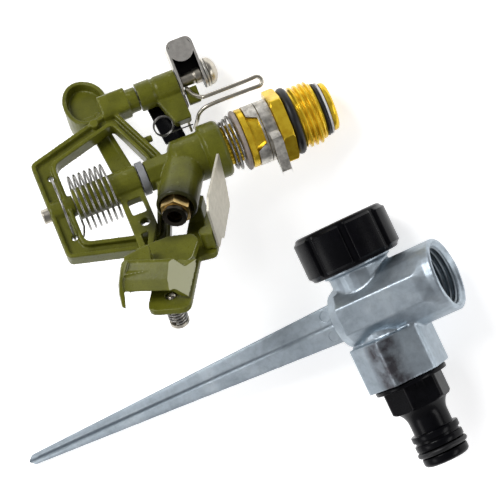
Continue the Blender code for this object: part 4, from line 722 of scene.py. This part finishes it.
def trip_wire_line():
    """From a hook in the clip down round the loop's foot, and back up to the clip."""
    middle = 0.5 * (WIRE_LEFT + WIRE_RIGHT)
    foot = [front_side(middle - WIRE_FOOT_R * math.cos(a), WIRE_NEAR,
                       WIRE_FOOT_Z - WIRE_FOOT_R * math.sin(a))
            for a in [math.pi * i / 16 for i in range(17)]]
    left, right = ([front_side(side, WIRE_NEAR, WIRE_TOP_Z - 5.0),
                    front_side(side, WIRE_NEAR, WIRE_FOOT_Z + 3.0)]
                   for side in (WIRE_LEFT, WIRE_RIGHT))
    hook = [front_side(9.6, -13.2, BRACKET_TOP_Z), front_side(9.8, -9.0, BRACKET_TOP_Z),
            front_side(11.2, -4.2, BRACKET_TOP_Z - 0.8),
            front_side(13.3, -0.9, BRACKET_TOP_Z - 2.4)]
    tail = [front_side(WIRE_RIGHT + 0.3, WIRE_NEAR - 0.8, WIRE_TOP_Z - 2.8),
            front_side(19.6, -4.2, WIRE_TOP_Z - 0.8), front_side(22.4, -8.2, WIRE_TOP_Z)]
    return eased(hook + left, 10) + foot + eased(right[::-1] + tail, 10)


piece("trip_wire_loop", sweep(trip_wire_line(), TRIP_WIRE_R, sides=14), HEAD,
      LOOKS["stainless_rod"], "trip", "stainless_rod", "trip_wire")

TRIP_SPRING_TURN = 0.35               # radians from the head's x axis to the coil's


def trip_spring_line():
    """A small coil on a level axis, with one leg down to the clip."""
    c, s = math.cos(TRIP_SPRING_TURN), math.sin(TRIP_SPRING_TURN)
    centre = front_side(13.4, -1.6, 53.13)
    turns = [centre + Vector((p.y * s + p.z * c, p.z * s - p.y * c, p.x))
             for p in helix(turns=3.0, low=-0.9, high=0.9, radius=3.2, start=0.5 * math.pi)]
    leg = front_side(10.6, -5.8, BRACKET_TOP_Z + 1.0)
    return eased([leg, turns[0].lerp(leg, 0.5), turns[0]], 8)[:-1] + turns


piece("trip_coil", sweep(trip_spring_line(), TRIP_SPRING_WIRE_R, sides=10), HEAD, DARK_WIRE,
      "trip", "spring_steel", "trip_spring")

SCREW_REACH = 51.5                    # from the jet's root out to the diffuser screw
SCREW = (HEAD @ Matrix.Translation((SCREW_REACH * JET_LINE[0], 0.0,
                                    JET_ROOT_Z + SCREW_REACH * JET_LINE[2]))
         @ Matrix.Rotation(-JET_RISE, 4, "Y") @ Matrix.Rotation(0.5 * math.pi, 4, "X"))
piece("diffuser_coil", sweep(helix(turns=6.0, low=12.45, high=19.45, radius=2.75, per_turn=36),
                             DIFFUSER_WIRE_R),
      SCREW, SPRING, "head", "spring_steel", "diffuser_spring")

# end cap: broad moulded ribs with chamfered ends round a core whose rims stand past them
CAP_RIBS = 8
CAP_RIB_H = 1.0
CAP_RIB_ENDS = (15.4, 28.9)
CAP_CHAMFER = 0.9
CAP_CORE_R = 15.0
CAP_BORE_R = 11.7
CAP_RIB_FLANK = (0.39, 0.44)          # share of the way from a rib's middle to the next one's


def cap_warp(a, r, z):
    if r >= CAP_CORE_R:
        low, high = CAP_RIB_ENDS
        across = abs((a * CAP_RIBS / TAU + 0.5) % 1.0 - 0.5)
        rise = min(1.0, max(0.0, (z - low) / CAP_CHAMFER), max(0.0, (high - z) / CAP_CHAMFER))
        return r + CAP_RIB_H * (1.0 - smoothstep(*CAP_RIB_FLANK, across)) * rise, z
    return r, z


cap_line = [(0.0, 29.5), (10.0, 29.5), (10.4, 29.8), (13.3, 29.8), (14.1, 29.72), (14.6, 29.5),
            (14.9, 29.2)]
cap_line += [(CAP_CORE_R, z) for z in (28.9, 28.6, 28.3, 28.0, 27.6, 25.0, 22.0, 19.0, 16.7, 16.3,
                                       16.0, 15.7, 15.4)]
cap_line += [(14.85, 15.0), (14.5, 14.65), (13.9, 14.5), (11.9, 14.5), (CAP_BORE_R, 14.7),
             (CAP_BORE_R, 27.4), (0.0, 27.4)]
piece("ribbed_cap", lathe(cap_line, 256, cap_warp), HOSE, LOOKS["black_plastic"], "cap",
      "black_plastic", "end_cap", sharp=34.0)

# hose connector, the tail a hose coupling clicks onto: flange, hexagon, waist and two rings
# about an O-ring groove
TAIL_HEX_LOW = -35.1
TAIL_FLAT = 9.2                       # also of the outline's rows that become the hexagon
TAIL_TURN = math.radians(33.0)
TAIL_CHAMFER_R = TAIL_FLAT + 0.30
TAIL_CHAMFER_SLOPE = 1.4
TAIL_WAIST_R = 6.7
TAIL_RING_R = 8.2
TAIL_BORE_R = 4.6
WAIST_STEPS = 10


def tail_warp(a, r, z):
    if r == TAIL_FLAT:
        return min(hexagon(a, TAIL_FLAT, TAIL_TURN, 0.25),
                   TAIL_CHAMFER_R + TAIL_CHAMFER_SLOPE * (z - TAIL_HEX_LOW)), z
    return r, z


tail_line = [(8.7, -17.6), (8.7, -25.6), (11.9, -25.7), (12.2, -25.78), (12.3, -25.95),
             (12.3, -26.85), (12.2, -27.02), (11.9, -27.1), (9.3, -27.12)]
tail_line += [(TAIL_FLAT, z) for z in (-27.2, -30.0, -33.0, -34.2, -34.5, -34.7, -34.9,
                               TAIL_HEX_LOW)]
tail_line += [(TAIL_WAIST_R + 1.9 * (1.0 - i / WAIST_STEPS) ** 2.2, -35.15 - 4.6 * i / WAIST_STEPS)
              for i in range(WAIST_STEPS + 1)]
tail_line += [(TAIL_WAIST_R, -43.3), (6.9, -43.5), (7.8, -43.52), (8.1, -43.65),
              (TAIL_RING_R, -43.9), (TAIL_RING_R, -45.4), (8.05, -45.7), (7.5, -45.9),
              (7.5, -46.6), (8.05, -46.8), (TAIL_RING_R, -47.1), (TAIL_RING_R, -48.6),
              (8.05, -48.85), (7.7, -48.9), (6.6, -48.95), (6.5, -49.1), (6.5, -51.2),
              (6.7, -51.35), (7.4, -51.4), (7.7, -51.55), (7.8, -51.8), (7.8, -53.3),
              (7.6, -53.8), (7.1, -54.25), (6.5, -54.5), (5.0, -54.5), (4.7, -54.35),
              (TAIL_BORE_R, -54.1), (TAIL_BORE_R, -17.6)]
piece("ribbed_connector", lathe(tail_line, 180, tail_warp, TAIL_TURN), HOSE,
      LOOKS["black_plastic"], "spike", "black_plastic", "hose_connector", sharp=34.0)

# thread cut in the socket, and the casting's two ejector marks
SOCKET_LOW, SOCKET_HIGH = 11.9, 25.3
SOCKET_ROOT = 9.96
SOCKET_DEPTH = -0.62                  # inwards, from the root
SOCKET_WALL_R = 10.2
MARK_R = 1.95
MARK_EDGE_R = 0.16
MARK_AT = (3.5, 1.62, -16.8)
MARK_LEAN = math.atan2(0.9, 6.3)      # the blade's face falls away from its middle
piece("socket_thread", screw_thread(SOCKET_LOW, SOCKET_HIGH, SOCKET_ROOT, SOCKET_DEPTH,
                                    core=SOCKET_WALL_R, fade=0.8),
      SPIKE, SHADED_BORE_ZINC, "spike", "zinc_plate", sharp=60.0)
for name, side in (("ejector_mark_left", -1.0), ("ejector_mark_right", 1.0)):
    mark = (SPIKE @ Matrix.Translation((MARK_AT[0] * side, *MARK_AT[1:]))
            @ Matrix.Rotation(-MARK_LEAN * side, 4, "Z") @ Matrix.Rotation(0.5 * math.pi, 4, "X"))
    piece(name, sweep(circle(MARK_R, 0.0, 56), MARK_EDGE_R, sides=10, closed=True), mark,
          LOOKS["zinc_plate"], "spike", "zinc_plate")


# ---- floor, lights and camera ------------------------------------------------------
FLOOR_HALF = 3.0
FLOOR_DROP = 0.0002
FLOOR_SHADE = (0.9, 0.9, 0.9, 1.0)
FLOOR_GLOW = 0.60
WORLD_LEVEL = 0.70
DIM_SIDE = Vector((0.53, 0.0, 0.85))
# level of the room by the cosine to its dim side
ROOM = ((-0.6, 0.80), (0.10, 0.72), (0.55, 0.50), (0.86, 0.31), (1.0, 0.24))
# azimuth, elevation, distance, size and power of each lamp
LAMPS = {"key": (195.0, 50.0, 0.9, (0.40, 0.40), 4.6),
         "side": (64.0, 24.0, 0.9, (0.6, 0.25), 1.8),
         "back": (285.0, 40.0, 1.0, (0.5, 0.3), 1.4)}
LAMP_AIM = Vector((0.0, 0.0, 0.02))
CAMERA_AIM = Vector((0.0261, 0.0062, 0.0200))
CAMERA_VIEW = (89.61, 73.63)          # azimuth and elevation
CAMERA_ROLL = math.radians(-114.93)
CAMERA_DISTANCE = 0.7439
CAMERA_LENS = 165.6


def placed(name, data, aim, view, distance, roll=0.0):
    """A lamp or camera that looks at a point from an azimuth and elevation in degrees."""
    azimuth, elevation = (math.radians(angle) for angle in view)
    away = Vector((math.sin(azimuth) * math.cos(elevation),
                   -math.cos(azimuth) * math.cos(elevation), math.sin(elevation)))
    made = bpy.data.objects.new(name, data)
    bpy.context.scene.collection.objects.link(made)
    made.location = aim + away * distance
    made.rotation_mode = "QUATERNION"
    made.rotation_quaternion = ((-away).to_track_quat("-Z", "Y")
                                @ Quaternion((0.0, 0.0, 1.0), roll))
    return made


def add_floor():
    """A white floor that glows to the camera and in reflections, and still takes a shadow."""
    mesh = bpy.data.meshes.new("floor")
    mesh.from_pydata([(x * FLOOR_HALF, y * FLOOR_HALF, 0.0)
                      for x, y in ((-1, -1), (1, -1), (1, 1), (-1, 1))], [], [(0, 1, 2, 3)])
    floor = bpy.data.objects.new("floor", mesh)
    bpy.context.scene.collection.objects.link(floor)
    floor.location.z = -FLOOR_DROP
    look = bpy.data.materials.new("white_floor")
    look.use_nodes = True
    nodes, links = look.node_tree.nodes, look.node_tree.links
    surface = nodes["Principled BSDF"]
    surface.inputs["Base Color"].default_value = FLOOR_SHADE
    surface.inputs["Roughness"].default_value = 0.9
    surface.inputs["Specular IOR Level"].default_value = 0.0
    surface.inputs["Emission Color"].default_value = (1.0, 1.0, 1.0, 1.0)
    path = nodes.new("ShaderNodeLightPath")
    seen = path.outputs["Is Camera Ray"]
    for ray in ("Is Glossy Ray", "Is Transmission Ray"):
        either = nodes.new("ShaderNodeMath")
        either.operation = "MAXIMUM"
        links.new(seen, either.inputs[0])
        links.new(path.outputs[ray], either.inputs[1])
        seen = either.outputs["Value"]
    glow = nodes.new("ShaderNodeMath")
    glow.operation = "MULTIPLY"
    glow.inputs[1].default_value = FLOOR_GLOW
    links.new(seen, glow.inputs[0])
    links.new(glow.outputs["Value"], surface.inputs["Emission Strength"])
    mesh.materials.append(look)


def add_world():
    """A pale room that is dim on one side overhead."""
    world = bpy.data.worlds.new("studio")
    world.use_nodes = True
    nodes, links = world.node_tree.nodes, world.node_tree.links
    back = nodes["Background"]
    back.inputs["Strength"].default_value = WORLD_LEVEL
    toward = nodes.new("ShaderNodeVectorMath")
    toward.operation = "DOT_PRODUCT"
    toward.inputs[1].default_value = DIM_SIDE.normalized()
    spread = nodes.new("ShaderNodeMapRange")
    spread.inputs["From Min"].default_value = -1.0
    ramp = nodes.new("ShaderNodeValToRGB")
    while len(ramp.color_ramp.elements) < len(ROOM):
        ramp.color_ramp.elements.new(0.5)
    for element, (cosine, level) in zip(ramp.color_ramp.elements, ROOM):
        element.position = 0.5 * (cosine + 1.0)
        element.color = (level, level, 1.03 * level, 1.0)
    links.new(nodes.new("ShaderNodeTexCoord").outputs["Generated"], toward.inputs[0])
    links.new(toward.outputs["Value"], spread.inputs["Value"])
    links.new(spread.outputs["Result"], ramp.inputs["Fac"])
    links.new(ramp.outputs["Color"], back.inputs["Color"])
    bpy.context.scene.world = world


def add_lamp(name, azimuth, elevation, distance, size, power):
    data = bpy.data.lights.new(name, "AREA")
    data.shape = "RECTANGLE"
    data.size, data.size_y = size
    data.energy = power
    placed(name, data, LAMP_AIM, (azimuth, elevation), distance)


def add_camera():
    data = bpy.data.cameras.new("camera")
    data.lens = CAMERA_LENS
    data.sensor_width = 36.0
    bpy.context.scene.camera = placed("camera", data, CAMERA_AIM, CAMERA_VIEW, CAMERA_DISTANCE,
                                      CAMERA_ROLL)


add_floor()
add_world()
for name, values in LAMPS.items():
    add_lamp(name, *values)
add_camera()
bpy.context.scene.view_settings.view_transform = "Standard"
